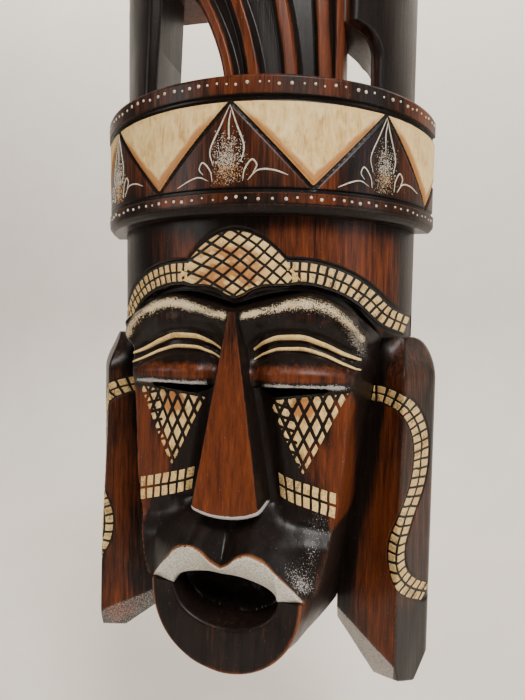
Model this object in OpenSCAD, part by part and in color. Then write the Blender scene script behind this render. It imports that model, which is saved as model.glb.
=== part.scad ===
// Carved wooden wall mask, glued up from blocks, with inlaid panels and a hinged
// hanging ring. Millimetres. +X is the viewer's right, +Z is up, the flat back
// lies on Y = 0 and the face looks along -Y. The origin is the hanging point:
// where a nail in the wall bears on the ring.

/* [Log and forehead] */
// Radius of the round log that the forehead is cut from
log_radius = 89.5; // [80:0.5:108]
// Distance of the log's centre line behind the flat back
log_setback = 23; // [18:0.5:28]
// Drop from the hanging point to the middle of the valley under the forehead
valley_drop = 72; // [66:1:87]
// Height of the valley's two arches over its middle
valley_rise = 8; // [5:0.5:10]
// Extra drop of the valley where it meets the ears
valley_fall = 16; // [12:0.5:20]
// Drop from the hanging point to the top of the hollow in the back
hollow_drop = 42; // [40:1:50]
// Thickness of wood left in front of the forehead's hollow
forehead_wall = 22; // [16:0.5:27]

/* [Headband] */
// Height of the band around the top of the forehead
band_height = 61; // [51:1:64]
// How far the band's rims stand out from the log
band_thick = 9.5; // [8:0.25:11.5]
// Height of each dotted rim
rim_height = 9; // [7.5:0.5:11]
// Width of the grooves beside the rims
groove_width = 1.8; // [1.2:0.1:2.4]
// Depth of the grooves, and of the field between them
groove_depth = 1.2; // [0.8:0.1:1.5]
// Cream triangles round the band
panel_count = 4; // [3:1:5]
// Angle from one triangle to the next
panel_pitch = 45; // [36:1:48]
// Thickness of the filler in a triangle
panel_thick = 1.6; // [1:0.1:2]

/* [Face] */
// Half-width of the face block under the forehead
temple_inset = 16.5; // [13:0.5:20]
// How much narrower the face block is at the jaw than at the temples, each side
jaw_taper = 21; // [17:0.5:24]
// Drop from the hanging point to the end of the ear joints
jaw_drop = 238; // [230:1:244]
// Drop from the hanging point to the chin, the lower lip's lowest point
chin_drop = 251; // [246:1:262]
// How far the lower lip hangs below the jaw behind it
lip_overhang = 1.5; // [1:0.25:3]
// Thickness of the sides of the face block beside its hollow
side_wall = 15; // [13:0.5:18]
// Depth of the hollow behind the face
hollow_depth = 43; // [34:0.5:45]
// Drop to the lower end of the hollow
hollow_end_drop = 192; // [180:1:195]

/* [Eyes] */
// Distance of each eye's middle from the centre line
eye_offset = 29; // [26:0.5:31]
// Drop from the hanging point to the eye slits
eye_drop = 115; // [112:0.5:118]
// Length of an eye slit
eye_length = 33; // [27:0.5:36]
// Greatest height of an eye slit
eye_height = 6; // [5:0.25:7.5]
// Width of the inlaid lines above each eye
lid_line_width = 3; // [2.4:0.1:3.6]

/* [Nose] */
// Drop from the hanging point to the top of the nose
nose_top_drop = 77; // [75:0.5:79]
// Length of the nose
nose_length = 91; // [76:1:95]
// Width of the nose at its lower end
nose_width = 31; // [26:0.5:37]
// How far the tip of the nose stands out from the back
nose_depth = 80; // [76:0.5:90]

/* [Mouth] */
// Half-width of the mouth, from the centre line to a corner
mouth_half = 38.5; // [33:0.5:42]
// Drop from the hanging point to the corners of the mouth
mouth_drop = 211; // [208:0.5:214]
// Depth from the back of the lower lip's flat front
lip_depth = 76; // [72:0.5:84]
// Depth from the back of the upper lip's sharp top edge
upper_lip_depth = 85; // [79:0.5:92]
// Half-width of the mouth's hollow
hollow_half = 26; // [22:0.5:29]
// How deep the mouth's hollow goes
mouth_depth = 32; // [27:0.5:38]

/* [Ears] */
// How far the ears reach out past the log, each side
ear_overhang = 13.5; // [11:0.5:16.5]
// Drop from the hanging point to the lower ends of the ears
ear_drop = 286; // [280:1:292]
// Drop from the hanging point to where the slanted cut leaves the jaw
ear_cut_drop = 256; // [251:1:261]
// How much higher the left ear ends than the right one
ear_left_rise = 7; // [3:0.5:11]
// How much nearer to its outer edge the left ear has its lowest point
ear_left_shift = 15; // [6:0.5:15]
// Distance of an ear's ridge from its outer edge
ear_ridge_inset = 18; // [15:0.5:21]
// Height of an ear's ridge over the back
ear_ridge_depth = 36; // [30:0.5:43]
// Thickness of an ear at its outer edge
ear_edge_depth = 7; // [5:0.5:9]
// Thickness of an ear where it meets the jaw
ear_foot_depth = 11; // [10:0.5:13]

/* [Crown] */
// Height of the pierced crown over the headband
crown_height = 120; // [100:1:150]
// Height of the crown's closed cap
cap_height = 54; // [40:1:60]
// How far the crown is cut back from the log's face
crown_step = 1.5; // [1:0.25:3]
// Thickness of the crown's posts and trunk
crown_wall = 28; // [22:0.5:34]
// Left edge of the fluted trunk at its foot
trunk_left = -9; // [-14:1:-5]
// Right edge of the fluted trunk
trunk_right = 48; // [40:1:52]
// Radius of the flutes in the trunk
flute_radius = 7; // [5:0.5:8]

/* [Inlays] */
// Depth of the filler in the carved pockets
inlay_thick = 1.5; // [1.2:0.1:2]
// How far the filler stands proud of the wood
inlay_proud = 0.3; // [0.1:0.05:0.5]
// Width of the forehead's side bands
side_band_width = 11; // [9:0.5:13]
// Width of the ribbons on the ears
ribbon_width = 11; // [9:0.5:13]

/* [Dowels and hanger] */
// Radius of the glued dowels
dowel_radius = 3; // [2.5:0.25:3.5]
// Length of a dowel
dowel_length = 24; // [20:1:28]
// Radius of the hanging ring's bow, at the middle of its wire
ring_radius = 9.2; // [7.5:0.1:11]
// Radius of the ring's wire
wire_radius = 1.2; // [1:0.1:1.5]
// Radial running clearance between the ring's bar and the strap's knuckle
hinge_clearance = 0.06; // [0.03:0.01:0.1]
// Thickness of the hanger's strap
strap_thick = 1.2; // [1:0.1:1.6]
// Length of the strap below the hinge
strap_length = 26; // [22:1:28]
// Radius of the screws' shanks
screw_radius = 1.7; // [1.4:0.1:2]
// Length of the screws' shanks
screw_length = 14; // [10:1:18]

/* [Hidden] */
$fn = 96;

// Colours of the finishes
wood_brown = [0.28, 0.10, 0.05];
wood_black = [0.07, 0.045, 0.04];
cream = [0.87, 0.78, 0.58];
speckle = [0.72, 0.68, 0.62];
steel = [0.62, 0.62, 0.60];

// Far more than the mask's own size, for cuts that run right through
beyond = 200;

// Log and headband
log_half = sqrt(pow(log_radius, 2) - pow(log_setback, 2));
band_half = band_height / 2;
band_radius = log_radius + band_thick;
field_radius = band_radius - groove_depth / 2;
panel_top = band_half - rim_height - groove_width;

// Face block: its joints with the ears are planes that lean inward to the jaw
temple_half = log_half - temple_inset;
jaw_half = temple_half - jaw_taper;
side_drop = valley_drop + valley_fall;
face_columns = 36;
face_rows = 44;

// Ears
ear_half = log_half + ear_overhang;
ridge_x = ear_half - ear_ridge_inset;

// Crown
crown_radius = log_radius - crown_step;
crown_inner = crown_radius - crown_wall;
crown_half = sqrt(pow(crown_radius, 2) - pow(log_setback, 2));
crown_foot = band_half;
cap_foot = crown_foot + crown_height - cap_height;

// Nose, lips and their seats in the face block
nose_seat = 51;
lip_seat = 62;
nose_end_drop = nose_top_drop + nose_length;

// Hanger: the ring's bar lies below the hanging point by the bow's inner radius
knuckle_inner = wire_radius + hinge_clearance;
knuckle_radius = knuckle_inner + strap_thick;
recess_depth = 2 * knuckle_radius + 0.1;
hinge_z = wire_radius - ring_radius;
hinge_y = knuckle_radius - recess_depth;
strap_half = ring_radius - wire_radius - 1;
screw_head_radius = 2 * screw_radius;
screw_head_height = 1.4;
screw_drops = [strap_length * 0.42, strap_length * 0.8];

function mix(a, b, t) = a + (b - a) * t;
function clamp(v, low, high) = min(max(v, low), high);
function smooth(t) = t * t * (3 - 2 * t);
function rise(v, from, to) = smooth(clamp((v - from) / (to - from), 0, 1));
function bump(v, centre, spread) = exp(-pow((v - centre) / spread, 2));

// Depth of the log's surface over the back, at a distance x from the centre line
function log_depth(x) = sqrt(pow(log_radius, 2) - pow(min(abs(x), log_half), 2)) - log_setback;

// Height of the valley between forehead and brows: two arches and a fall to the ears
function valley_z(x) =
    let(s = min(abs(x) / temple_half, 1))
    valley_rise * sin(180 * s) - valley_drop - valley_fall * pow(s, 3);

// Half-width of the face block at a drop below the hanging point
function side_half(drop) =
    mix(temple_half, jaw_half, (drop - side_drop) / (jaw_drop - side_drop));

// Underside of the jaw, half an ellipse between the ends of the ear joints
function jaw_z(u) = -jaw_drop - (chin_drop - lip_overhang - jaw_drop) * sqrt(max(1 - u * u, 0));

// Half-width of the face's front, inside its side slopes
function front_half(drop) =
    drop < mouth_drop
    ? side_half(drop) - lookup(drop, [[80, 8], [115, 10], [165, 7.5], [190, 8.6], [mouth_drop, 11]])
    : mouth_half * sqrt(max(1 - pow((drop - mouth_drop) / (chin_drop - mouth_drop), 2), 0));

// How far the middle of the face leans out from the log's curve, by drop
lean_by_drop = [
    [72, -4], [80, 1], [90, -3], [98, -5], [104, -1.5], [eye_drop - 3, 0], [eye_drop + 2, -5],
    [150, -4], [172, -2], [186, 9], [mouth_drop, 9], [mouth_drop + 12, 4], [262, 4]
];

// Width of the steep slope from the face's front to its sides
side_run = 20;

// Depth of an ear's inner slope over the back
function ear_slope_depth(x) =
    mix(ear_foot_depth, ear_ridge_depth, (x - jaw_half) / (ridge_x - jaw_half));

// Half-width of the jaw's outline, which closes under the chin
function outline_half(drop) =
    drop < jaw_drop
    ? side_half(drop)
    : jaw_half * sqrt(max(1 - pow((drop - jaw_drop) / (chin_drop - lip_overhang - jaw_drop), 2), 0));

// Depth of the carved face over the back
function face_depth(x, z) =
    let(
        a = abs(x),
        drop = -z,
        front = front_half(drop),
        side = outline_half(drop),
        run = max(drop < mouth_drop ? min(side - front, side_run) : side - front, 0.1),
        // the front is flatter than the log
        middle = log_depth(0.7 * min(a, front)) + lookup(drop, lean_by_drop),
        // hollows beside the nose, and the sharp edges of the cheeks and the lips' muzzle
        socket = -4 * bump(a, 12, 7) * rise(drop, 88, 100) * rise(-drop, -172, -158),
        muzzle = 7 * bump(a, 15, 11) * rise(drop, 172, 186),
        slope = smooth(clamp((a - front) / run, 0, 1)),
        foot = max(ear_slope_depth(max(side, jaw_half)), log_depth(a) * rise(-drop, -100, -88))
    )
    mix(middle + socket + muzzle, foot, slope);

// Cuts a 2D outline, drawn in X and Z, from one depth over the back to another
module through_depth(from, to) {
    rotate([90, 0, 0])
        translate([0, 0, from])
            linear_extrude(to - from) children();
}

// A round log lying against the back, cut flat there
module log_slice(radius, low, high) {
    intersection() {
        translate([0, log_setback, low]) cylinder(r = radius, h = high - low);
        translate([-beyond, -beyond, low]) cube([2 * beyond, beyond, high - low]);
    }
}

// The curved layer of a log between two radii
module log_layer(inner, outer, low, high) {
    difference() {
        log_slice(outer, low, high);
        translate([0, log_setback, low - 1]) cylinder(r = inner, h = high - low + 2);
    }
}

// Nets of points, numbered row by row: their border, walked once round, and their triangles
function net_rim(rows, cols) = concat(
    [for (c = [0 : cols - 1]) c],
    [for (r = [1 : rows - 1]) r * cols + cols - 1],
    [for (c = [cols - 2 : -1 : 0]) (rows - 1) * cols + c],
    [for (r = [rows - 2 : -1 : 1]) r * cols]
);
function net_faces(rows, cols) = [
    for (r = [0 : rows - 2], c = [0 : cols - 2], half = [0, 1])
        let(k = r * cols + c)
        half == 0 ? [k, k + 1, k + cols] : [k + 1, k + cols + 1, k + cols]
];
function on_face(p, lift) = [p[0], -face_depth(p[0], p[1]) - lift, p[1]];

// A solid between two depths under and over the carved face, above a net of points in X and Z
module carved_sheet(net, back, front) {
    rows = len(net);
    cols = len(net[0]);
    count = rows * cols;
    rim = net_rim(rows, cols);
    n = len(rim);
    polyhedron(
        points = concat(
            [for (row = net, p = row) on_face(p, front)],
            [for (row = net, p = row) on_face(p, -back)]
        ),
        faces = concat(
            net_faces(rows, cols),
            [for (f = net_faces(rows, cols)) [f[2] + count, f[1] + count, f[0] + count]],
            [for (i = [0 : n - 1]) [rim[i], rim[i] + count, rim[(i + 1) % n] + count]],
            [for (i = [0 : n - 1]) [rim[i], rim[(i + 1) % n] + count, rim[(i + 1) % n]]]
        )
    );
}

// The whole carved face as one solid from the back to its front
module carved_face() {
    net = [for (r = [0 : face_rows]) [for (c = [0 : face_columns])
        let(u = 2 * c / face_columns - 1, t = r / face_rows)
        [u * mix(temple_half, jaw_half, t), mix(valley_z(u * temple_half), jaw_z(u), t)]]];
    rows = face_rows + 1;
    cols = face_columns + 1;
    count = rows * cols;
    rim = net_rim(rows, cols);
    n = len(rim);
    flat = [for (row = net, p = row) p];
    // the back is a fan of triangles round this height
    hub_z = -(valley_drop + chin_drop) / 2;
    polyhedron(
        points = concat(
            [for (p = flat) on_face(p, 0)],
            [for (i = rim) [flat[i][0], 0, flat[i][1]]],
            [[0, 0, hub_z]]
        ),
        faces = concat(
            net_faces(rows, cols),
            [for (i = [0 : n - 1]) [count + n, count + (i + 1) % n, count + i]],
            [for (i = [0 : n - 1]) [rim[i], count + i, count + (i + 1) % n, rim[(i + 1) % n]]]
        )
    );
}

// ---------------------------------------------------------------- outlines

// Forehead: its lower edge follows the valley and then rests on the ears' shoulders
forehead_outline = concat(
    [[-beyond, band_half], [-beyond, -side_drop]],
    [for (c = [0 : face_columns])
        let(x = (2 * c / face_columns - 1) * temple_half) [x, valley_z(x)]],
    [[beyond, -side_drop], [beyond, band_half]]
);

// Hollow behind the face, following the leaning sides
face_hollow_outline = [
    [-side_half(side_drop) + side_wall, -valley_drop + valley_rise + 1],
    [-side_half(side_drop) + side_wall, -side_drop],
    [-side_half(hollow_end_drop) + side_wall, -hollow_end_drop],
    [side_half(hollow_end_drop) - side_wall, -hollow_end_drop],
    [side_half(side_drop) - side_wall, -side_drop],
    [side_half(side_drop) - side_wall, -valley_drop + valley_rise + 1]
];

// An eye slit: two shallow arcs that meet in points
module eye_outline(side) {
    steps = 10;
    translate([side * eye_offset, -eye_drop])
        polygon(concat(
            [for (i = [0 : steps]) let(s = 2 * i / steps - 1) [s * eye_length / 2, 0.8]],
            [for (i = [steps - 1 : -1 : 1]) let(s = 2 * i / steps - 1)
                [s * eye_length / 2, 0.8 - eye_height * (1 - s * s)]]
        ));
}

// Upper edge of the upper lip, from the notch over a peak to a corner
lip_notch_drop = mouth_drop - 15;
lip_peak_drop = mouth_drop - 24;
lip_edge = [
    [0, -lip_notch_drop], [5, 4 - lip_notch_drop], [10, 1.5 - lip_peak_drop - 3],
    [15, -lip_peak_drop], [20, -1 - lip_peak_drop], [28, -8 - lip_peak_drop],
    [mouth_half, -mouth_drop]
];
function mirrored(points) = concat(
    [for (i = [len(points) - 1 : -1 : 1]) [-points[i][0], points[i][1]]], points);

// The mouth's hollow: an arch above, half an ellipse below
hollow_rise = 11;
hollow_fall = 17;
hollow_steps = 16;
hollow_arch = [for (i = [0 : hollow_steps]) let(a = 180 * i / hollow_steps)
    [hollow_half * cos(a), hollow_rise * sin(a) - mouth_drop]];
hollow_bowl = [for (i = [0 : hollow_steps]) let(a = 180 + 180 * i / hollow_steps)
    [hollow_half * cos(a), hollow_fall * sin(a) - mouth_drop]];
module mouth_hollow_outline() {
    polygon(concat(hollow_arch, [for (i = [1 : hollow_steps - 1]) hollow_bowl[i]]));
}

module upper_lip_outline() {
    polygon(concat(mirrored(lip_edge), hollow_arch));
}

module lower_lip_outline() {
    polygon(concat(
        [for (i = [0 : 2 * hollow_steps]) let(a = 180 + 90 * i / hollow_steps)
            [mouth_half * cos(a), (chin_drop - mouth_drop) * sin(a) - mouth_drop]],
        [for (i = [hollow_steps : -1 : 0]) hollow_bowl[i]]
    ));
}

// A strip of even width along points in X and Z
function direction(points, i) =
    let(a = points[max(i - 1, 0)], b = points[min(i + 1, len(points) - 1)], d = b - a) d / norm(d);
function beside(points, offset) = [for (i = [0 : len(points) - 1])
    let(d = direction(points, i)) points[i] + offset * [-d[1], d[0]]];
module strip_outline(points, width) {
    far = beside(points, -width / 2);
    polygon(concat(beside(points, width / 2), [for (i = [len(far) - 1 : -1 : 0]) far[i]]));
}

// A smooth curve through given points
function curve_point(a, b, c, d, t) =
    0.5 * (2 * b + (c - a) * t + (2 * a - 5 * b + 4 * c - d) * t * t
        + (3 * b - 3 * c + d - a) * t * t * t);
function curve(points, steps) = concat(
    [for (i = [0 : len(points) - 2], k = [0 : steps - 1])
        curve_point(points[max(i - 1, 0)], points[i], points[i + 1],
            points[min(i + 2, len(points) - 1)], k / steps)],
    [points[len(points) - 1]]);

// ---------------------------------------------------------------- forehead

// The crest in the middle of the forehead, a leaf standing on the valley's lip
crest_top = -band_half - 6;
crest_half = 29;
crest_foot = -valley_drop + 17;
crest_outline = [
    [0, crest_top], [9, crest_top - 3], [18, crest_top - 9], [crest_half, crest_foot - 1],
    [16, crest_foot - 9], [0, crest_foot - 13],
    [-16, crest_foot - 9], [-crest_half, crest_foot - 1], [-18, crest_top - 9], [-9, crest_top - 3]
];

// The bands that leave the crest and run down to the sides of the log
side_band_inset = 4;
side_band_route = curve([
    [crest_half + 2, crest_foot - 4.5], [temple_half * 0.66, crest_foot - 6],
    [temple_half * 0.92, crest_foot - 14], [log_half - side_band_inset, crest_foot - 24]
], 5);

module forehead_pockets(inner, outer) {
    intersection() {
        log_layer(inner, outer, -side_drop, -band_half);
        through_depth(0, beyond) polygon(crest_outline);
    }
    for (side = [0, 1])
        mirror([side, 0, 0])
            side_band(inner, outer);
}

module side_band(inner, outer) {
    intersection() {
        log_layer(inner, outer, -side_drop, -band_half);
        through_depth(0, beyond) strip_outline(side_band_route, side_band_width);
    }
}

// The forehead's hollow, round about the log's centre line and open to the back
module forehead_hollow() {
    translate([0, log_setback, -side_drop - 1])
        cylinder(r = log_radius - forehead_wall, h = side_drop + 1 - hollow_drop);
}

// Recess in the back for the strap and the ring, with room for a nail's head above the ring
recess_gap = 1.5;
recess_headroom = 11;
module hanger_recess() {
    recess_half = ring_radius + wire_radius + recess_gap;
    recess_low = hinge_z - strap_length - recess_gap;
    recess_high = 2 * wire_radius + recess_headroom;
    translate([-recess_half, -recess_depth, recess_low])
        cube([2 * recess_half, recess_depth + 1, recess_high - recess_low]);
}

module forehead_block() {
    color(wood_brown)
        difference() {
            intersection() {
                log_slice(log_radius, -side_drop, band_half);
                through_depth(-1, beyond) polygon(forehead_outline);
            }
            forehead_hollow();
            forehead_pockets(log_radius - inlay_thick, log_radius + 1);
            hanger_recess();
            hanger_screws_solid();
            crown_dowels_solid();
        }
}

module forehead_crest() {
    color(cream)
        intersection() {
            log_layer(log_radius - inlay_thick, log_radius + inlay_proud, -side_drop, -band_half);
            through_depth(0, beyond) polygon(crest_outline);
        }
}

module forehead_band_left() {
    color(cream)
        mirror([1, 0, 0]) side_band(log_radius - inlay_thick, log_radius + inlay_proud);
}

module forehead_band_right() {
    color(cream)
        side_band(log_radius - inlay_thick, log_radius + inlay_proud);
}

// ---------------------------------------------------------------- headband

// Section of the band: rims above and below, a groove beside each, a chamfered lower lip
band_section = [
    [log_radius, -band_half],
    [band_radius - 2.2, -band_half],
    [band_radius, -band_half + 3],
    [band_radius, -band_half + rim_height],
    [band_radius - groove_depth, -band_half + rim_height + 0.3],
    [band_radius - groove_depth, -band_half + rim_height + groove_width],
    [field_radius, -band_half + rim_height + groove_width + 0.4],
    [field_radius, band_half - rim_height - groove_width - 0.4],
    [band_radius - groove_depth, band_half - rim_height - groove_width],
    [band_radius - groove_depth, band_half - rim_height - 0.3],
    [band_radius, band_half - rim_height],
    [band_radius, band_half - 1],
    [band_radius - 1, band_half],
    [log_radius, band_half]
];

// One triangle of the band, as a layer between two radii; number counts from the left
module band_triangle(number, inner, outer) {
    angle = (number - (panel_count + 1) / 2) * panel_pitch;
    half = band_radius * sin(panel_pitch / 2) - groove_width;
    intersection() {
        log_layer(inner, outer, -panel_top - 1, panel_top + 1);
        translate([0, log_setback, 0])
            rotate([0, 0, angle])
                through_depth(0, beyond)
                    polygon([[-half, panel_top - 1], [half, panel_top - 1], [0, 2.5 - panel_top]]);
    }
}

module headband() {
    color(wood_brown)
        difference() {
            intersection() {
                translate([0, log_setback, 0]) rotate_extrude() polygon(band_section);
                translate([-beyond, -beyond, -beyond]) cube([2 * beyond, beyond, 2 * beyond]);
            }
            for (number = [1 : panel_count])
                band_triangle(number, field_radius - panel_thick, band_radius + 1);
        }
}

module band_panel(number) {
    color(cream)
        band_triangle(number, field_radius - panel_thick, field_radius + inlay_proud);
}

// ---------------------------------------------------------------- face

module nose_solid() {
    top = -nose_top_drop;
    end = -nose_end_drop;
    half = nose_width / 2;
    top_depth = log_depth(0) + 4;
    tip_depth = nose_depth - 1.5;
    polyhedron(
        points = [
            [-1.2, -top_depth, top], [1.2, -top_depth, top],
            [half, -tip_depth, end], [0, -nose_depth, end - 4.5], [-half, -tip_depth, end],
            [-2.5, -nose_seat, top + 1], [2.5, -nose_seat, top + 1],
            [half + 3, -nose_seat, end - 1], [0, -nose_seat, end - 7.5], [-half - 3, -nose_seat, end - 1]
        ],
        faces = [
            [0, 1, 3], [1, 2, 3], [0, 3, 4],
            [0, 5, 6, 1], [1, 6, 7], [1, 7, 2], [0, 4, 9], [0, 9, 5],
            [2, 7, 8], [2, 8, 3], [3, 8, 9], [3, 9, 4],
            [5, 9, 8, 7, 6]
        ]
    );
}

module nose() {
    color(wood_brown) nose_solid();
}

// Side view of the lips, as Y and Z: the upper lip is one bevel, the lower lip nearly flat
module upper_lip() {
    color(speckle)
        intersection() {
            through_depth(lip_seat, beyond) upper_lip_outline();
            rotate([90, 0, 90])
                translate([0, 0, -beyond / 2])
                    linear_extrude(beyond)
                        polygon([
                            [-lip_seat, -lip_peak_drop + 1], [-upper_lip_depth, -lip_peak_drop + 1],
                            [-upper_lip_depth, -lip_peak_drop], [-lip_depth + 3, -mouth_drop],
                            [-lip_seat, -mouth_drop - 1]
                        ]);
        }
}

module lower_lip() {
    color(wood_black)
        intersection() {
            through_depth(lip_seat, beyond) lower_lip_outline();
            rotate([90, 0, 90])
                translate([0, 0, -beyond / 2])
                    linear_extrude(beyond)
                        polygon([
                            [-lip_seat, -mouth_drop + 1], [-lip_depth + 3, -mouth_drop + 1],
                            [-lip_depth, -chin_drop - 1], [-lip_seat, -chin_drop - 1]
                        ]);
        }
}

// Net of points across a four-cornered field, corners named from the viewer's side
function field_net(top_left, top_right, low_left, low_right, rows, cols) =
    [for (r = [0 : rows]) [for (c = [0 : cols])
        mix(mix(top_left, top_right, c / cols), mix(low_left, low_right, c / cols), r / rows)]];

// The lattice under each eye hangs from the slit as a triangle
lattice_top = -eye_drop - eye_height - 0.6;
lattice_low = lattice_top - 34;
function lattice_net(side) = side < 0
    ? field_net([-54, lattice_top + 2], [-18, lattice_top], [-34.5, lattice_low], [-33.5, lattice_low], 7, 6)
    : field_net([18, lattice_top], [54, lattice_top + 2], [33.5, lattice_low], [34.5, lattice_low], 7, 6);

// The patch on each cheek is a short ladder that rises to the nose
function patch_net(side) = side < 0
    ? field_net([-50.5, -164], [-21, -154.5], [-50, -176], [-22, -167], 3, 7)
    : field_net([21, -154.5], [50.5, -164], [22, -167], [50, -176], 3, 7);

// Two curved lines over each eye, from beside the nose to the temple
function lid_line(side, lift) = [for (i = [0 : 12])
    let(s = i / 12, x = mix(9, 58, s)) [side * x, lift - 101 + 12 * sin(180 * pow(s, 0.8)) - 3 * s]];
function line_net(side, lift) =
    let(
        route = side < 0 ? [for (i = [12 : -1 : 0]) lid_line(-1, lift)[i]] : lid_line(1, lift),
        high = beside(route, lid_line_width / 2),
        low = beside(route, -lid_line_width / 2)
    )
    [high, low];

module lid_lines(side, back, front) {
    carved_sheet(line_net(side, 3), back, front);
    carved_sheet(line_net(side, -3.5), back, front);
}

// Pockets are open to the front, so they are cut well past the surface
pocket_front = 6;

module face_block() {
    color(wood_black)
        difference() {
            carved_face();
            through_depth(-1, hollow_depth) polygon(face_hollow_outline);
            nose_solid();
            through_depth(lip_seat, beyond) {
                upper_lip_outline();
                lower_lip_outline();
            }
            through_depth(lip_depth - mouth_depth, beyond) mouth_hollow_outline();
            for (side = [-1, 1]) {
                through_depth(-1, beyond) eye_outline(side);
                carved_sheet(lattice_net(side), inlay_thick, pocket_front);
                carved_sheet(patch_net(side), inlay_thick, pocket_front);
                lid_lines(side, inlay_thick, pocket_front);
            }
            ear_dowels_solid();
        }
}

module lid_lines_left() {
    color(cream) lid_lines(-1, inlay_thick, inlay_proud);
}

module lid_lines_right() {
    color(cream) lid_lines(1, inlay_thick, inlay_proud);
}

module eye_lattice_left() {
    color(cream) carved_sheet(lattice_net(-1), inlay_thick, inlay_proud);
}

module eye_lattice_right() {
    color(cream) carved_sheet(lattice_net(1), inlay_thick, inlay_proud);
}

module cheek_patch_left() {
    color(cream) carved_sheet(patch_net(-1), inlay_thick, inlay_proud);
}

module cheek_patch_right() {
    color(cream) carved_sheet(patch_net(1), inlay_thick, inlay_proud);
}

// ---------------------------------------------------------------- ears

// Plan of the right ear with its surface raised or sunk, as X and Y
module ear_plan(raise) {
    polygon([
        [jaw_half - 4, 0], [jaw_half - 4, -ear_slope_depth(jaw_half - 4) - raise],
        [ridge_x, -ear_ridge_depth - raise * 1.1],
        [ear_half + raise * 0.5, -ear_edge_depth - raise], [ear_half + raise * 0.5, 0]
    ]);
}

// Front view of the right ear: shoulder above, slanted cut below
shoulder_rise = 24;
function ear_low(side) = ear_drop - (side < 0 ? ear_left_rise : 0);
function ear_tip(side) = ridge_x - 3 + (side < 0 ? ear_left_shift : 0);
function cut_high(side) = [jaw_half, -ear_cut_drop + (side < 0 ? ear_left_rise : 0)];
function cut_low(side) = [ear_tip(side) - 7, -ear_low(side) + 2];
function ear_corner(side) = 0.85 * (ear_half - ear_tip(side));
function ear_outline(side) = [
    [temple_half, -side_drop], [log_half, -side_drop],
    [mix(log_half, ear_half, 0.5), -side_drop - 0.17 * shoulder_rise],
    [mix(log_half, ear_half, 0.85), -side_drop - 0.5 * shoulder_rise],
    [ear_half, -side_drop - shoulder_rise],
    [ear_half, -ear_low(side) + ear_corner(side)],
    [mix(ear_tip(side), ear_half, 0.62), -ear_low(side) + 0.3 * ear_corner(side)],
    [ear_tip(side) + 1, -ear_low(side)], [ear_tip(side) - 3, -ear_low(side)],
    cut_low(side), cut_high(side), [jaw_half, -jaw_drop]
];

// The ribbon swings from the valley over the ridge to the outer edge, and back and out again
ribbon_route = curve([
    [side_half(120) + 1, -118], [ridge_x - 8, -120], [ridge_x + 4, -128], [ridge_x + 10, -143],
    [ridge_x + 9, -165], [ridge_x + 2, -187], [ridge_x + 1, -206], [ridge_x + 8, -222],
    [ear_half - 1, -232]
], 4);

// An ear's slanted cut and its lower end are bevels that climb from near the wall to its front
bevel_foot = 4;
cut_slope = 1.3;
end_slope = 1.9;
bevel_width = 36;
bevel_turn = 8;
module bevel_wedge(slope) {
    rotate([90, 0, 90])
        translate([0, 0, -beyond / 2])
            linear_extrude(beyond)
                polygon([
                    [slope - bevel_foot, -1], [-bevel_foot - slope * bevel_width, bevel_width],
                    [-beyond, bevel_width], [-beyond, -1]
                ]);
}

module ear_bevels(side) {
    along = cut_low(side) - cut_high(side);
    translate([cut_high(side)[0], 0, cut_high(side)[1]])
        rotate([0, atan2(-along[1], along[0]) + bevel_turn, 0])
            bevel_wedge(cut_slope);
    translate([ear_tip(side), 0, -ear_low(side)]) bevel_wedge(end_slope);
}

module ear_solid(raise, side) {
    difference() {
        intersection() {
            translate([0, 0, -ear_drop - 1])
                linear_extrude(ear_drop) ear_plan(raise);
            through_depth(-1, beyond) polygon(ear_outline(side));
        }
        ear_bevels(side);
    }
}

module ribbon_solid(raise, side) {
    intersection() {
        difference() {
            ear_solid(raise, side);
            translate([0, 0, -ear_drop - 2])
                linear_extrude(ear_drop + 2) ear_plan(-inlay_thick);
        }
        through_depth(ear_edge_depth + 1, beyond) strip_outline(ribbon_route, ribbon_width);
    }
}

module ear(side) {
    mirror([side < 0 ? 1 : 0, 0, 0])
        difference() {
            ear_solid(0, side);
            ribbon_solid(5, side);
            ear_dowel_pair();
        }
}

module ear_left() {
    color(wood_brown) ear(-1);
}

module ear_right() {
    color(wood_brown) ear(1);
}

module ear_ribbon_left() {
    color(cream) mirror([1, 0, 0]) ribbon_solid(inlay_proud, -1);
}

module ear_ribbon_right() {
    color(cream) ribbon_solid(inlay_proud, 1);
}

// ---------------------------------------------------------------- crown

module crown_slice(outline, low, high) {
    intersection() {
        log_layer(crown_inner, crown_radius, low, high);
        through_depth(-1, beyond) polygon(outline);
    }
}

// Trunk: its left edge sweeps out towards the cap
trunk_sweep = 27;
trunk_left_edge = [for (i = [0 : 10]) let(t = i / 10)
    [trunk_left - trunk_sweep * pow(t, 1.6), mix(crown_foot, cap_foot, t)]];
flute_pitch = (trunk_right - trunk_left) / 4;

module crown_trunk() {
    color(wood_brown)
        difference() {
            crown_slice(concat(trunk_left_edge, [[trunk_right, cap_foot], [trunk_right, crown_foot]]),
                crown_foot, cap_foot);
            for (i = [0 : 3])
                let(x = trunk_left + (i + 0.5) * flute_pitch)
                translate([x, log_setback - sqrt(pow(crown_radius + flute_radius * 0.6, 2) - x * x),
                        crown_foot - 1])
                    cylinder(r = flute_radius, h = cap_foot - crown_foot + 2);
            crown_dowels_solid();
        }
}

// Posts: each stands on the band's outer edge and thickens towards the cap
post_left_inner = -50;
post_right_inner = 61;
window_top = cap_foot - 32;

module crown_post_left() {
    color(wood_brown)
        difference() {
            crown_slice([
                [-beyond, crown_foot], [post_left_inner, crown_foot],
                [post_left_inner + 6, cap_foot], [-beyond, cap_foot]
            ], crown_foot, cap_foot);
            crown_dowels_solid();
        }
}

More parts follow.
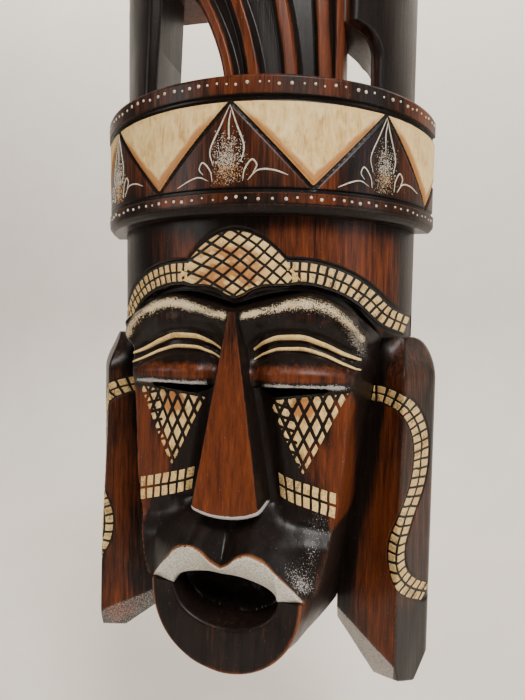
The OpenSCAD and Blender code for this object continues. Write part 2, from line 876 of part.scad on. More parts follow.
module crown_post_right() {
    bend = post_right_inner - trunk_right;
    color(wood_brown)
        difference() {
            crown_slice(concat(
                [[beyond, cap_foot], [trunk_right, cap_foot], [trunk_right, window_top]],
                [for (a = [80 : -20 : 0])
                    [post_right_inner - bend + bend * cos(a), window_top - bend + bend * sin(a)]],
                [[post_right_inner, crown_foot], [beyond, crown_foot]]
            ), crown_foot, cap_foot);
            crown_dowels_solid();
        }
}

// Cap: a closed, rounded top over both windows
module crown_cap() {
    shoulder = cap_foot + cap_height * 0.35;
    color(wood_brown)
        difference() {
            intersection() {
                log_slice(crown_radius, cap_foot, cap_foot + cap_height);
                through_depth(-1, beyond)
                    polygon(concat(
                        [[-crown_half - 1, cap_foot]],
                        [for (a = [180 : -7.5 : 0])
                            [(crown_half + 1) * cos(a), shoulder + (cap_height * 0.65) * sin(a)]],
                        [[crown_half + 1, cap_foot]]
                    ));
            }
            crown_dowels_solid();
        }
}

// ---------------------------------------------------------------- dowels

// Places of the crown's upright dowels, as an angle round the log's centre line
dowel_ring = (crown_radius + crown_inner) / 2 - 1;
crown_dowel_angles = [-62, 5, 27, 62];

module crown_dowels_solid() {
    for (angle = crown_dowel_angles, z = [crown_foot, cap_foot])
        translate([dowel_ring * sin(angle), log_setback - dowel_ring * cos(angle), z - dowel_length / 2])
            cylinder(r = dowel_radius, h = dowel_length);
}

module crown_dowels() {
    color(wood_brown) crown_dowels_solid();
}

// Drops of the two dowels in each ear joint, and their height over the back
ear_dowel_drops = [124, 178];
ear_dowel_depth = 2.5 + dowel_radius;

module ear_dowel_pair() {
    for (drop = ear_dowel_drops)
        translate([side_half(drop) - dowel_length / 2, -ear_dowel_depth, -drop])
            rotate([0, 90, 0]) cylinder(r = dowel_radius, h = dowel_length);
}

module ear_dowels_solid() {
    ear_dowel_pair();
    mirror([1, 0, 0]) ear_dowel_pair();
}

module ear_dowels() {
    color(wood_brown) ear_dowels_solid();
}

// ---------------------------------------------------------------- hanger

module across(radius, half) {
    translate([-half, hinge_y, hinge_z])
        rotate([0, 90, 0]) cylinder(r = radius, h = 2 * half);
}

module hanger_strap() {
    color(steel)
        difference() {
            union() {
                across(knuckle_radius, strap_half);
                translate([-strap_half, -recess_depth, hinge_z - strap_length])
                    cube([2 * strap_half, strap_thick, strap_length]);
            }
            across(knuckle_inner, strap_half + 1);
            hanger_screws_solid();
        }
}

module hanger_screws_solid() {
    for (drop = screw_drops)
        translate([0, -recess_depth + strap_thick, hinge_z - drop])
            rotate([90, 0, 0]) {
                translate([0, 0, -screw_head_height])
                    cylinder(r = screw_head_radius, h = screw_head_height);
                cylinder(r = screw_radius, h = screw_length);
            }
}

module hanger_screws() {
    color(steel) hanger_screws_solid();
}

// The ring: a straight bar in the knuckle, and half a circle of wire above it
module hanger_ring() {
    color(steel)
        union() {
            across(wire_radius, ring_radius);
            translate([0, hinge_y, hinge_z])
                rotate([90, 0, 0])
                    rotate_extrude(angle = 180)
                        translate([ring_radius, 0]) circle(r = wire_radius);
            for (side = [-1, 1])
                translate([side * ring_radius, hinge_y, hinge_z]) sphere(r = wire_radius);
        }
}

forehead_block();
face_block();
nose();
upper_lip();
lower_lip();
ear_left();
ear_right();
headband();
band_panel(1);  // band_panel_1
band_panel(2);  // band_panel_2
band_panel(3);  // band_panel_3
band_panel(4);  // band_panel_4
forehead_crest();
forehead_band_left();
forehead_band_right();
lid_lines_left();
lid_lines_right();
eye_lattice_left();
eye_lattice_right();
cheek_patch_left();
cheek_patch_right();
ear_ribbon_left();
ear_ribbon_right();
crown_trunk();
crown_post_left();
crown_post_right();
crown_cap();
crown_dowels();
ear_dowels();
hanger_strap();
hanger_screws();
hanger_ring();
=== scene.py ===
"""Looks of the carved wooden mask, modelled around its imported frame.

Shapes are worked out in millimetres, as depth over the flat back (Y = 0) against
X (the viewer's right) and Z (up), and turned into metres when a mesh is made.
"""
import math

import bpy
import numpy as np
from mathutils import Matrix, Vector


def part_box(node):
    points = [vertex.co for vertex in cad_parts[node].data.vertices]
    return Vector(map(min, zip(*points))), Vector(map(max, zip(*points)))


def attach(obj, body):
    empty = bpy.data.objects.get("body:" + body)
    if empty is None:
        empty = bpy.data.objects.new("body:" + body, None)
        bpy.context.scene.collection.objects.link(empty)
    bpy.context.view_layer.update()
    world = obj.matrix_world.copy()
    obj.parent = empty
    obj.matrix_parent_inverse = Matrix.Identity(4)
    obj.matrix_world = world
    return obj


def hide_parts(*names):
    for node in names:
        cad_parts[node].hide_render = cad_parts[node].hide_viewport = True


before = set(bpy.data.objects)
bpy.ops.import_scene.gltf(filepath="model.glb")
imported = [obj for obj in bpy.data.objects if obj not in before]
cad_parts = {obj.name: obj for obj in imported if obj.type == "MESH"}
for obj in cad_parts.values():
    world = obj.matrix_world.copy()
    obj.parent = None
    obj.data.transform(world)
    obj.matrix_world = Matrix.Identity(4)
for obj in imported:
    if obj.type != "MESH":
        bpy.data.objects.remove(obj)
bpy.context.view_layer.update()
MM = 0.001

# ------------------------------------------------------------------ sizes


def node_box(name):
    """A CAD node's lowest and highest corners, in millimetres."""
    low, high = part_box(name)
    return np.array(low) / MM, np.array(high) / MM


log_low, log_high = node_box("forehead_block")
LOG_HALF = log_high[0]
LOG_DEPTH = -log_low[1]
LOG_RADIUS = (LOG_HALF ** 2 + LOG_DEPTH ** 2) / (2 * LOG_DEPTH)
SETBACK = LOG_RADIUS - LOG_DEPTH
SIDE_DROP = -log_low[2]
band_low, band_high = node_box("headband")
BAND_HALF = band_high[2]
BAND_RADIUS = -band_low[1] + SETBACK
TEMPLE_HALF = node_box("face_block")[1][0]
CHIN_DROP = -node_box("lower_lip")[0][2]
EAR_HALF = node_box("ear_right")[1][0]
EAR_DROP = -node_box("ear_right")[0][2]
EAR_LEFT_RISE = EAR_DROP + node_box("ear_left")[0][2]
EAR_LEFT_SHIFT = 15.0
EAR_FLARE = {-1: 6.0, 1: -1.0}
SHOULDER_RISE = 24.0
EAR_CUT_DROP = 256.0
BEVEL_FOOT, CUT_SLOPE, END_SLOPE, BEVEL_TURN = 4.0, 1.3, 1.9, math.radians(8)
CROWN_TOP = node_box("crown_cap")[1][2]
CAP_FOOT = node_box("crown_cap")[0][2]
CROWN_RADIUS = SETBACK - node_box("crown_cap")[0][1]
NOSE_LOW, NOSE_HIGH = node_box("nose")

VALLEY_RISE = 8.0
VALLEY_FALL = 16.0
VALLEY_DROP = SIDE_DROP - VALLEY_FALL
JAW_TAPER = 21.0
JAW_HALF = TEMPLE_HALF - JAW_TAPER
JAW_DROP = 238.0
LIP_OVERHANG = 1.5
MOUTH_HALF = 37.8
MOUTH_DROP = 211.0
LIP_SEAT = 62.0
LIP_DEPTH = 76.0
UPPER_LIP_DEPTH = 85.0
MOUTH_FLOOR = 44.5
HOLLOW_HALF = 26.0
HOLLOW_RISE = 11.0
HOLLOW_FALL = 17.0
EYE_OFFSET = 29.0
EYE_HALF = 16.5
EYE_DROP = 112.5
EYE_HEIGHT = 5.6
RIDGE_INSET = 18.0
RIDGE_X = EAR_HALF - RIDGE_INSET
RIDGE_DEPTH = 36.0
EAR_EDGE_DEPTH = 7.0
EAR_FOOT_DEPTH = 11.0
FACE_HOLLOW_DEPTH = 43.0
HOLLOW_WALL = 15.0
HOLLOW_END = 192.0
SLIT_SLANT = 7.0
HOLLOW_REACH = 50.0
LOG_HOLLOW_RADIUS = LOG_RADIUS - 22.0
LOG_HOLLOW_DROP = 42.0
CROWN_WALL = 28.0
INLAY_THICK = 1.5
POCKET = 1.4
PATCH_WIDEN = 3.0
CREST_HALF = 32.0
WORDS = {-1: "left", 1: "right"}

# ------------------------------------------------------------------ number helpers


def clamp(v, low=0.0, high=1.0):
    return np.minimum(np.maximum(v, low), high)


def ramp(v, start, end):
    """0 before start, 1 after end, smooth between."""
    t = clamp((v - start) / (end - start))
    return t * t * (3 - 2 * t)


def bump(v, centre, spread):
    return np.exp(-((v - centre) / spread) ** 2)


def mix(a, b, t):
    return a + (b - a) * t


def down(count, start=0.0, end=1.0):
    """Even steps down a net's rows."""
    return np.linspace(start, end, count)[:, None]


def across(count, start=0.0, end=1.0):
    """Even steps across a net's columns."""
    return np.linspace(start, end, count)[None, :]


def edge_fall(v):
    """How far a rounded edge has fallen: 1 at v = 0, none from v = 1."""
    return 1 - np.sqrt(clamp(1 - (1 - clamp(v)) ** 2))


def track(v, points):
    """A smooth curve through (input, output) points that never overshoots."""
    xs = np.array([p[0] for p in points], float)
    ys = np.array([p[1] for p in points], float)
    h = np.diff(xs)
    slope = np.diff(ys) / h
    tangent = np.zeros(len(xs))
    same = slope[:-1] * slope[1:] > 0
    inner = np.zeros(len(xs) - 2)
    inner[same] = 2 * slope[:-1][same] * slope[1:][same] / (slope[:-1][same] + slope[1:][same])
    tangent[1:-1] = inner
    tangent[0], tangent[-1] = slope[0], slope[-1]
    v = clamp(v, xs[0], xs[-1])
    k = np.minimum(np.searchsorted(xs, v, side="right") - 1, len(h) - 1)
    t = (v - xs[k]) / h[k]
    return ((1 + 2 * t) * (1 - t) ** 2 * ys[k] + t * (1 - t) ** 2 * h[k] * tangent[k]
            + t * t * (3 - 2 * t) * ys[k + 1] + t * t * (t - 1) * h[k] * tangent[k + 1])


def wander(x, z, cell, seed):
    """Smooth random waves of about -1 to 1, one per cell of that many millimetres."""
    table = np.random.default_rng(seed).uniform(-1, 1, (64, 64))
    cx, cz = cell if isinstance(cell, tuple) else (cell, cell)
    px, pz = x / cx, z / cz
    ix, iz = np.floor(px).astype(int), np.floor(pz).astype(int)
    fx, fz = px - ix, pz - iz
    fx, fz = fx * fx * (3 - 2 * fx), fz * fz * (3 - 2 * fz)
    a = table[ix % 64, iz % 64]
    b = table[(ix + 1) % 64, iz % 64]
    c = table[ix % 64, (iz + 1) % 64]
    d = table[(ix + 1) % 64, (iz + 1) % 64]
    return mix(mix(a, b, fx), mix(c, d, fx), fz)


def route(points, count):
    """An even walk of count points along a smooth curve through points."""
    p = np.array(points, float)
    ends = np.vstack([2 * p[0] - p[1], p, 2 * p[-1] - p[-2]])
    dense = []
    for i in range(len(p) - 1):
        a, b, c, d = ends[i:i + 4]
        t = np.linspace(0, 1, 40, endpoint=False)[:, None]
        dense.append(0.5 * (2 * b + (c - a) * t + (2 * a - 5 * b + 4 * c - d) * t ** 2
                            + (3 * b - 3 * c + d - a) * t ** 3))
    dense = np.vstack(dense + [p[-1:]])
    along = np.concatenate([[0], np.cumsum(np.linalg.norm(np.diff(dense, axis=0), axis=1))])
    want = np.linspace(0, along[-1], count)
    return np.stack([np.interp(want, along, dense[:, k]) for k in (0, 1)], -1), along[-1]


def walk(points, count):
    """A route's points, the normals on its left and its length."""
    path, length = route(points, count)
    along = np.gradient(path, axis=0)
    along /= np.linalg.norm(along, axis=1)[:, None]
    return path, np.stack([-along[:, 1], along[:, 0]], -1), length


def line_gap(x, z, line):
    """Distance of each point from the nearest point of a line."""
    gap = np.full(x.shape, 1e9)
    for px, pz in line:
        gap = np.minimum(gap, np.hypot(x - px, z - pz))
    return gap


# ------------------------------------------------------------------ meshes


def write_mesh(name, points, quads, fields=None, smooth_angle=38):
    """A mesh object from points in millimetres and four-cornered faces."""
    mesh = bpy.data.meshes.new(name)
    mesh.vertices.add(len(points))
    mesh.vertices.foreach_set("co", (np.asarray(points, np.float32) * MM).ravel())
    quads = np.asarray(quads, np.int32)
    mesh.loops.add(quads.size)
    mesh.loops.foreach_set("vertex_index", quads.ravel())
    mesh.polygons.add(len(quads))
    mesh.polygons.foreach_set("loop_start", np.arange(0, quads.size, 4, dtype=np.int32))
    mesh.polygons.foreach_set("use_smooth", np.ones(len(quads), bool))
    mesh.update(calc_edges=True)
    mesh.validate()
    for key, values in (fields or {}).items():
        layer = mesh.attributes.new(key, "FLOAT", "POINT")
        layer.data.foreach_set("value", np.asarray(values, np.float32).ravel())
    mesh.set_sharp_from_angle(angle=math.radians(smooth_angle))
    obj = bpy.data.objects.new(name, mesh)
    bpy.context.collection.objects.link(obj)
    return obj


def slab(name, front, back, fields=None, keep=None):
    """A closed solid between two nets of points (rows, columns, xyz), walled round its edges and holes."""
    rows, cols = front.shape[:2]
    if keep is None:
        keep = np.ones((rows - 1, cols - 1), bool)
    index = np.arange(rows * cols).reshape(rows, cols)
    corners = np.stack([index[:-1, :-1], index[1:, :-1], index[1:, 1:], index[:-1, 1:]], -1)
    faces = corners[keep]
    far = rows * cols
    quads = [faces, faces[:, ::-1] + far]
    padded = np.pad(keep, 1)
    neighbours = {(0, 1): padded[1:-1, :-2], (1, 2): padded[2:, 1:-1],
                  (2, 3): padded[1:-1, 2:], (3, 0): padded[:-2, 1:-1]}
    for (i, j), there in neighbours.items():
        edge = corners[keep & ~there]
        quads.append(np.stack([edge[:, j], edge[:, i], edge[:, i] + far, edge[:, j] + far], -1))
    points = np.vstack([front.reshape(-1, 3), back.reshape(-1, 3)])
    quads = np.vstack(quads)
    used = np.unique(quads)
    renumber = np.zeros(len(points), int)
    renumber[used] = np.arange(len(used))
    values = {}
    for key, v in (fields or {}).items():
        v = np.broadcast_to(np.asarray(v, float), (rows, cols)).ravel()
        values[key] = np.concatenate([v, np.zeros(far) if key != "red" else v])[used]
    return write_mesh(name, points[used], renumber[quads], values)


def at_depth(x, z, depth):
    """Points at a depth over the back."""
    x, z, depth = np.broadcast_arrays(x, z, depth)
    return np.stack([x, -depth, z], -1)


def on_side(side, x, z, depth, fields):
    """Nets drawn for the right half as they are, or turned over for the left half."""
    if side > 0:
        return x, z, depth, fields
    turned = {key: np.broadcast_to(value, x.shape)[:, ::-1] for key, value in fields.items()}
    return -x[:, ::-1], z[:, ::-1], depth[:, ::-1], turned


def finish_piece(obj, material, replaced, body="mask"):
    obj.data.materials.append(material)
    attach(obj, body)
    if replaced:
        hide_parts(*replaced)
    return obj


# ------------------------------------------------------------------ materials


class Nodes:
    """Short ways to make and join shader nodes."""

    def __init__(self, name):
        self.material = bpy.data.materials.new(name)
        self.material.use_nodes = True
        self.tree = self.material.node_tree
        self.shader = self.tree.nodes["Principled BSDF"]
        self.place = self.add("ShaderNodeTexCoord").outputs["Object"]

    def add(self, kind, **settings):
        node = self.tree.nodes.new(kind)
        for key, value in settings.items():
            setattr(node, key, value)
        return node

    def join(self, source, socket):
        if isinstance(source, (int, float)):
            socket.default_value = source
        elif isinstance(source, tuple):
            socket.default_value = (*source, 1.0) if len(source) == 3 else source
        else:
            self.tree.links.new(source, socket)

    def noise(self, scale, stretch=(1, 1, 1), detail=4.0, rough=0.55, warp=0.0):
        mapping = self.add("ShaderNodeMapping")
        mapping.inputs["Scale"].default_value = stretch
        self.join(self.place, mapping.inputs["Vector"])
        node = self.add("ShaderNodeTexNoise")
        node.inputs["Scale"].default_value = scale
        node.inputs["Detail"].default_value = detail
        node.inputs["Roughness"].default_value = rough
        node.inputs["Distortion"].default_value = warp
        self.join(mapping.outputs["Vector"], node.inputs["Vector"])
        return node.outputs["Fac"]

    def field(self, name):
        return self.add("ShaderNodeAttribute", attribute_name=name).outputs["Fac"]

    def math(self, kind, a, b=0.0, c=0.0):
        node = self.add("ShaderNodeMath", operation=kind)
        for value, socket in zip((a, b, c), node.inputs):
            self.join(value, socket)
        return node.outputs[0]

    def sway(self, value, noise, amount):
        """A value moved up and down by a noise."""
        return self.math("ADD", value, self.math("MULTIPLY", self.math("SUBTRACT", noise, 0.5), amount))

    def mean(self, a, b, share):
        """Two noises added, with a share of the first."""
        return self.math("ADD", self.math("MULTIPLY", a, share), self.math("MULTIPLY", b, 1 - share))

    def shine(self, coat, coat_roughness, specular=0.5):
        self.shader.inputs["Specular IOR Level"].default_value = specular
        self.shader.inputs["Coat Weight"].default_value = coat
        self.shader.inputs["Coat Roughness"].default_value = coat_roughness

    def step(self, value, low, high, to_low=0.0, to_high=1.0):
        node = self.add("ShaderNodeMapRange", interpolation_type="SMOOTHSTEP")
        for source, key in ((value, "Value"), (low, "From Min"), (high, "From Max"),
                            (to_low, "To Min"), (to_high, "To Max")):
            self.join(source, node.inputs[key])
        return node.outputs["Result"]

    def colours(self, value, *stops):
        node = self.add("ShaderNodeValToRGB")
        while len(node.color_ramp.elements) < len(stops):
            node.color_ramp.elements.new(0.5)
        for element, (place, colour) in zip(node.color_ramp.elements, stops):
            element.position = place
            element.color = (*colour, 1.0)
        self.join(value, node.inputs["Fac"])
        return node.outputs["Color"]

    def blend(self, amount, a, b):
        node = self.add("ShaderNodeMix", data_type="RGBA")
        self.join(amount, node.inputs["Factor"])
        self.join(a, node.inputs[6])
        self.join(b, node.inputs[7])
        return node.outputs[2]

    def raise_by(self, height, strength, distance):
        node = self.add("ShaderNodeBump")
        node.inputs["Strength"].default_value = strength
        node.inputs["Distance"].default_value = distance
        self.join(height, node.inputs["Height"])
        self.join(node.outputs["Normal"], self.shader.inputs["Normal"])


GRAIN = (1.0, 1.0, 0.07)


def stained_wood(name):
    """Black-stained wood, rubbed through to red-brown where the field red is high; on the forehead, the
    headband and the ears the field red also carries painted light and shade. The silver field gives silver
    paint, and also painted sheen on the face's right side and painted light and shade on the ear bevels.
    """
    n = Nodes(name)
    streak = n.noise(420, GRAIN, 6, 0.62, 0.25)
    fine = n.noise(1500, (1.0, 1.0, 0.05), 5, 0.6)
    patch = n.noise(32, (1.0, 1.0, 0.40), 5, 0.6)
    speck = n.noise(1700, (1, 1, 1), 3, 0.6)
    grain = n.mean(streak, fine, 0.6)
    red = n.colours(grain, (0.28, (0.040, 0.010, 0.004)), (0.45, (0.095, 0.022, 0.007)),
                    (0.60, (0.160, 0.038, 0.010)), (0.80, (0.28, 0.080, 0.022)))
    black = n.colours(grain, (0.35, (0.0045, 0.0032, 0.0028)), (0.65, (0.016, 0.0095, 0.0072)))
    reach = n.sway(n.field("red"), patch, 0.9)
    reach = n.sway(reach, grain, 1.1)
    colour = n.blend(n.step(reach, 0.25, 0.85), black, red)
    rub = n.sway(n.field("wear"), speck, 0.7)
    colour = n.blend(n.step(rub, 0.35, 0.95), colour, (0.26, 0.095, 0.035))
    stipple = n.sway(n.field("cream"), speck, 2.2)
    cream = n.step(stipple, 0.50, 0.66)
    pale = n.colours(patch, (0.4, (0.60, 0.44, 0.24)), (0.6, (0.72, 0.60, 0.40)))
    colour = n.blend(cream, colour, pale)
    # silver paint; on the face's right side this also lays painted sheen, and on the ear bevels painted light
    # and shade
    frost_and_sheen = n.sway(n.field("silver_and_sheen"), speck, 2.4)
    silver_and_sheen = n.step(frost_and_sheen, 0.48, 0.70)
    colour = n.blend(silver_and_sheen, colour, (0.50, 0.47, 0.44))
    n.join(colour, n.shader.inputs["Base Color"])
    paint = n.math("MAXIMUM", cream, silver_and_sheen)
    rough = n.step(patch, 0.3, 0.7, 0.28, 0.42)
    n.join(n.math("ADD", rough, n.math("MULTIPLY", paint, 0.25)), n.shader.inputs["Roughness"])
    n.shine(0.05, 0.22, 0.15)
    height = n.math("ADD", grain, n.math("MULTIPLY", paint, 0.35))
    n.raise_by(height, 0.35, 0.0006)
    return n.material


def cream_filler(name, brush_scale, age_spread, aged):
    """Brushed cream filler; the field edge ages it to orange-brown, groove is a black cut."""
    n = Nodes(name)
    brush = n.noise(brush_scale, (1.0, 1.0, 0.28), 5, 0.65, 1.2)
    patch = n.noise(70, (1, 1, 1), 5, 0.65)
    speck = n.noise(1300, (1, 1, 1), 4, 0.7)
    base = n.colours(n.mean(brush, patch, 0.6), (0.36, (0.52, 0.29, 0.085)),
                     (0.48, (0.80, 0.53, 0.20)), (0.64, (0.95, 0.72, 0.36)))
    age = n.sway(n.field("edge"), patch, age_spread)
    age = n.sway(age, brush, 0.9)
    colour = n.blend(n.math("MULTIPLY", n.step(age, 0.35, 1.0), aged), base, (0.40, 0.13, 0.022))
    dirt = n.sway(n.field("dirt"), speck, 1.6)
    colour = n.blend(n.step(dirt, 0.40, 0.85), colour, (0.085, 0.048, 0.024))
    cut = n.sway(n.field("groove"), speck, 0.45)
    colour = n.blend(n.step(cut, 0.38, 0.62), colour, (0.008, 0.006, 0.005))
    n.join(colour, n.shader.inputs["Base Color"])
    n.join(n.step(brush, 0.3, 0.7, 0.42, 0.62), n.shader.inputs["Roughness"])
    n.shine(0.1, 0.3, 0.3)
    n.raise_by(n.math("ADD", brush, n.math("MULTIPLY", speck, 0.6)), 0.4, 0.0005)
    return n.material


def speckled_paint(name):
    """Pale speckled paint with an orange rim where it has worn, by the field wear."""
    n = Nodes(name)
    speck = n.noise(1500, (1, 1, 1), 4, 0.7)
    patch = n.noise(70, (1, 1, 1), 3, 0.5)
    base = n.colours(speck, (0.34, (0.16, 0.14, 0.11)), (0.46, (0.52, 0.48, 0.40)),
                     (0.60, (0.78, 0.73, 0.62)))
    rub = n.sway(n.field("wear"), patch, 0.8)
    colour = n.blend(n.step(rub, 0.45, 0.85), base, (0.36, 0.15, 0.055))
    n.join(colour, n.shader.inputs["Base Color"])
    n.join(n.step(speck, 0.3, 0.7, 0.36, 0.52), n.shader.inputs["Roughness"])
    n.shine(0.3, 0.25)
    n.raise_by(speck, 0.3, 0.0004)
    return n.material


def brush_paint(name, colour):
    """A stroke or blob of paint, a little uneven."""
    n = Nodes(name)
    patch = n.noise(600, (1, 1, 1), 3, 0.6)
    low = tuple(0.62 * c for c in colour)
    n.join(n.colours(patch, (0.35, low), (0.6, colour)), n.shader.inputs["Base Color"])
    n.join(n.step(patch, 0.3, 0.7, 0.4, 0.6), n.shader.inputs["Roughness"])
    n.raise_by(patch, 0.3, 0.0003)
    return n.material


def plated_steel(name):
    n = Nodes(name)
    brushed = n.noise(2600, (0.06, 1.0, 1.0), 4, 0.6)
    blotch = n.noise(300, (1, 1, 1), 4, 0.6)
    grey = n.colours(blotch, (0.35, (0.36, 0.35, 0.33)), (0.65, (0.58, 0.57, 0.54)))
    n.join(grey, n.shader.inputs["Base Color"])
    n.shader.inputs["Metallic"].default_value = 1.0
    n.join(n.step(brushed, 0.3, 0.7, 0.28, 0.46), n.shader.inputs["Roughness"])
    n.raise_by(brushed, 0.12, 0.0001)
    return n.material


def plain_dowel(name):
    n = Nodes(name)
    streak = n.noise(900, GRAIN, 5, 0.6)
    beech = n.colours(streak, (0.35, (0.30, 0.17, 0.08)), (0.65, (0.50, 0.33, 0.18)))
    n.join(beech, n.shader.inputs["Base Color"])
    n.join(n.step(streak, 0.3, 0.7, 0.55, 0.7), n.shader.inputs["Roughness"])
    n.raise_by(streak, 0.2, 0.0003)
    return n.material


WOOD = stained_wood("stained_wood")
PANEL = cream_filler("cream_panel", 330, 1.5, 0.85)
INLAY = cream_filler("cream_inlay", 750, 1.3, 0.9)
SPECKLE = speckled_paint("speckled_paint")
WHITE = brush_paint("white_paint", (0.74, 0.66, 0.52))
OCHRE = brush_paint("ochre_paint", (0.60, 0.33, 0.12))
STEEL = plated_steel("plated_steel")
DOWEL = plain_dowel("plain_dowel")

# ------------------------------------------------------------------ the carved surfaces


def log_depth(x, radius=LOG_RADIUS):
    return np.sqrt(np.maximum(radius ** 2 - x ** 2, 0)) - SETBACK


def valley_z(x):
    """Seam between forehead and face, in the valley over the brows."""
    s = np.minimum(np.abs(x) / TEMPLE_HALF, 1)
    return VALLEY_RISE * np.sin(math.pi * s) - VALLEY_DROP - VALLEY_FALL * s ** 3


def side_half(drop):
    return mix(TEMPLE_HALF, JAW_HALF, (drop - SIDE_DROP) / (JAW_DROP - SIDE_DROP))


def jaw_z(u):
    return -JAW_DROP - (CHIN_DROP - LIP_OVERHANG - JAW_DROP) * np.sqrt(np.maximum(1 - u * u, 0))


def outline_half(drop):
    """Half-width of the jaw's outline, which closes under the chin."""
    under = clamp((drop - JAW_DROP) / (CHIN_DROP - LIP_OVERHANG - JAW_DROP))
    return np.where(drop < JAW_DROP, side_half(drop), JAW_HALF * np.sqrt(1 - under ** 2))


def front_half(drop):
    """Half-width of the face's front inside its steep sides."""
    steep = [(80, 8), (100, 9.6), (120, 10.4), (165, 7.5), (190, 8.6), (211, 11)]
    cheek = side_half(drop) - track(drop, steep)
    jaw = MOUTH_HALF * np.sqrt(clamp(1 - ((drop - MOUTH_DROP) / (CHIN_DROP - MOUTH_DROP)) ** 2))
    return np.where(drop < MOUTH_DROP, cheek, jaw)


def ear_slope_depth(x):
    return mix(EAR_FOOT_DEPTH, RIDGE_DEPTH, (x - JAW_HALF) / (RIDGE_X - JAW_HALF))


def brow_z(a):
    return track(a, [(0, -77.5), (10, -75), (20, -72.5), (33, -70), (44, -72), (54, -79), (62, -88),
                     (70, -97)])


def lid_edge_z(x):
    """Lower edge of an eyelid, hardly curved."""
    return -EYE_DROP - 0.8 * ((np.abs(x) - EYE_OFFSET) / 25) ** 2 + 0.4


def lid_line_z(a, row):
    """The two cream lines over an eye: row 0 above, row 1 below."""
    heights = [(-94.5, -90.5, -88, -87.8, -91, -95.5, -99), (-99.5, -96, -93.6, -93.4, -96, -100.2, -104)]
    return track(a, list(zip((8, 14, 22, 31, 42, 52, 62), heights[row])))


def nose_half(drop):
    """Half-width of the nose's front."""
    return mix(1.2, 15.5, clamp((drop - 77) / 91))


def mouth_local(x, z):
    """Upright coordinates of the mouth, which sits a little askew."""
    share = ramp(-z, 170, 184)
    return x + 1.2 * share, z + 0.065 * x * share


def mouth_place(x, z):
    """Where upright mouth coordinates really lie."""
    return x - 1.2, z - 0.065 * (x - 1.2)


def lip_top_z(x):
    """Upper edge of the upper lip: a notch, two peaks, and a fall to the corners."""
    return track(np.abs(x), [(0, -196.5), (4, -193.5), (9, -188.6), (14, -186.6), (20, -188.6),
                             (28, -197), (34, -205), (MOUTH_HALF, -MOUTH_DROP)])


def lip_top_depth(x):
    return track(np.abs(x), [(0, 81.5), (6, 84), (14, UPPER_LIP_DEPTH), (24, 82), (32, 76), (MOUTH_HALF, 70)])


def hollow_top_z(x):
    """Upper edge of the open mouth, and of the lips' meeting beyond it."""
    return -MOUTH_DROP + HOLLOW_RISE * np.sqrt(clamp(1 - (x / HOLLOW_HALF) ** 2))


def mouth_radius(x, z, half, rise, fall):
    """1 on an outline made of half an ellipse above the mouth's corners and half below."""
    height = np.where(z > -MOUTH_DROP, rise, fall)
    return np.hypot(x / half, (z + MOUTH_DROP) / height)


LEAN = [(66, -5), (74, -2), (80, 1.5), (90, -2.5), (98, -4.5), (106, -2), (114, -3.5), (120, -5),
        (150, -4), (168, -3), (178, -0.5), (190, 5.5), (204, 8), (211, 8), (223, 3), (262, 3)]


def field_recess(x, z, net):
    """1 inside a four-cornered inlay, whose corners run clockwise from the top left."""
    inside = np.full(x.shape, 1e9)
    for (x0, z0), (x1, z1) in zip(net, net[1:] + net[:1]):
        length = math.hypot(x1 - x0, z1 - z0)
        away = ((x - x0) * (z1 - z0) - (z - z0) * (x1 - x0)) / length
        inside = np.minimum(inside, away)
    return ramp(inside, 0.1, 0.9)


LATTICE_TOP = -EYE_DROP - 3.5
LATTICE = [(56.8, LATTICE_TOP + 2.8), (14.8, LATTICE_TOP - 2), (33.2, -157), (34.8, -157)]
PATCH = [(51, -163.5), (21, -154), (22.5, -167), (50.5, -176.5)]


def inlay_pockets(x, z):
    """Depth of the pockets under the face's inlays, which reach further out on the left."""
    a = np.abs(x)
    a = np.where(x < 0, a - PATCH_WIDEN * (a > 40), a)
    return POCKET * sum(field_recess(a, z, net) for net in (LATTICE, PATCH))


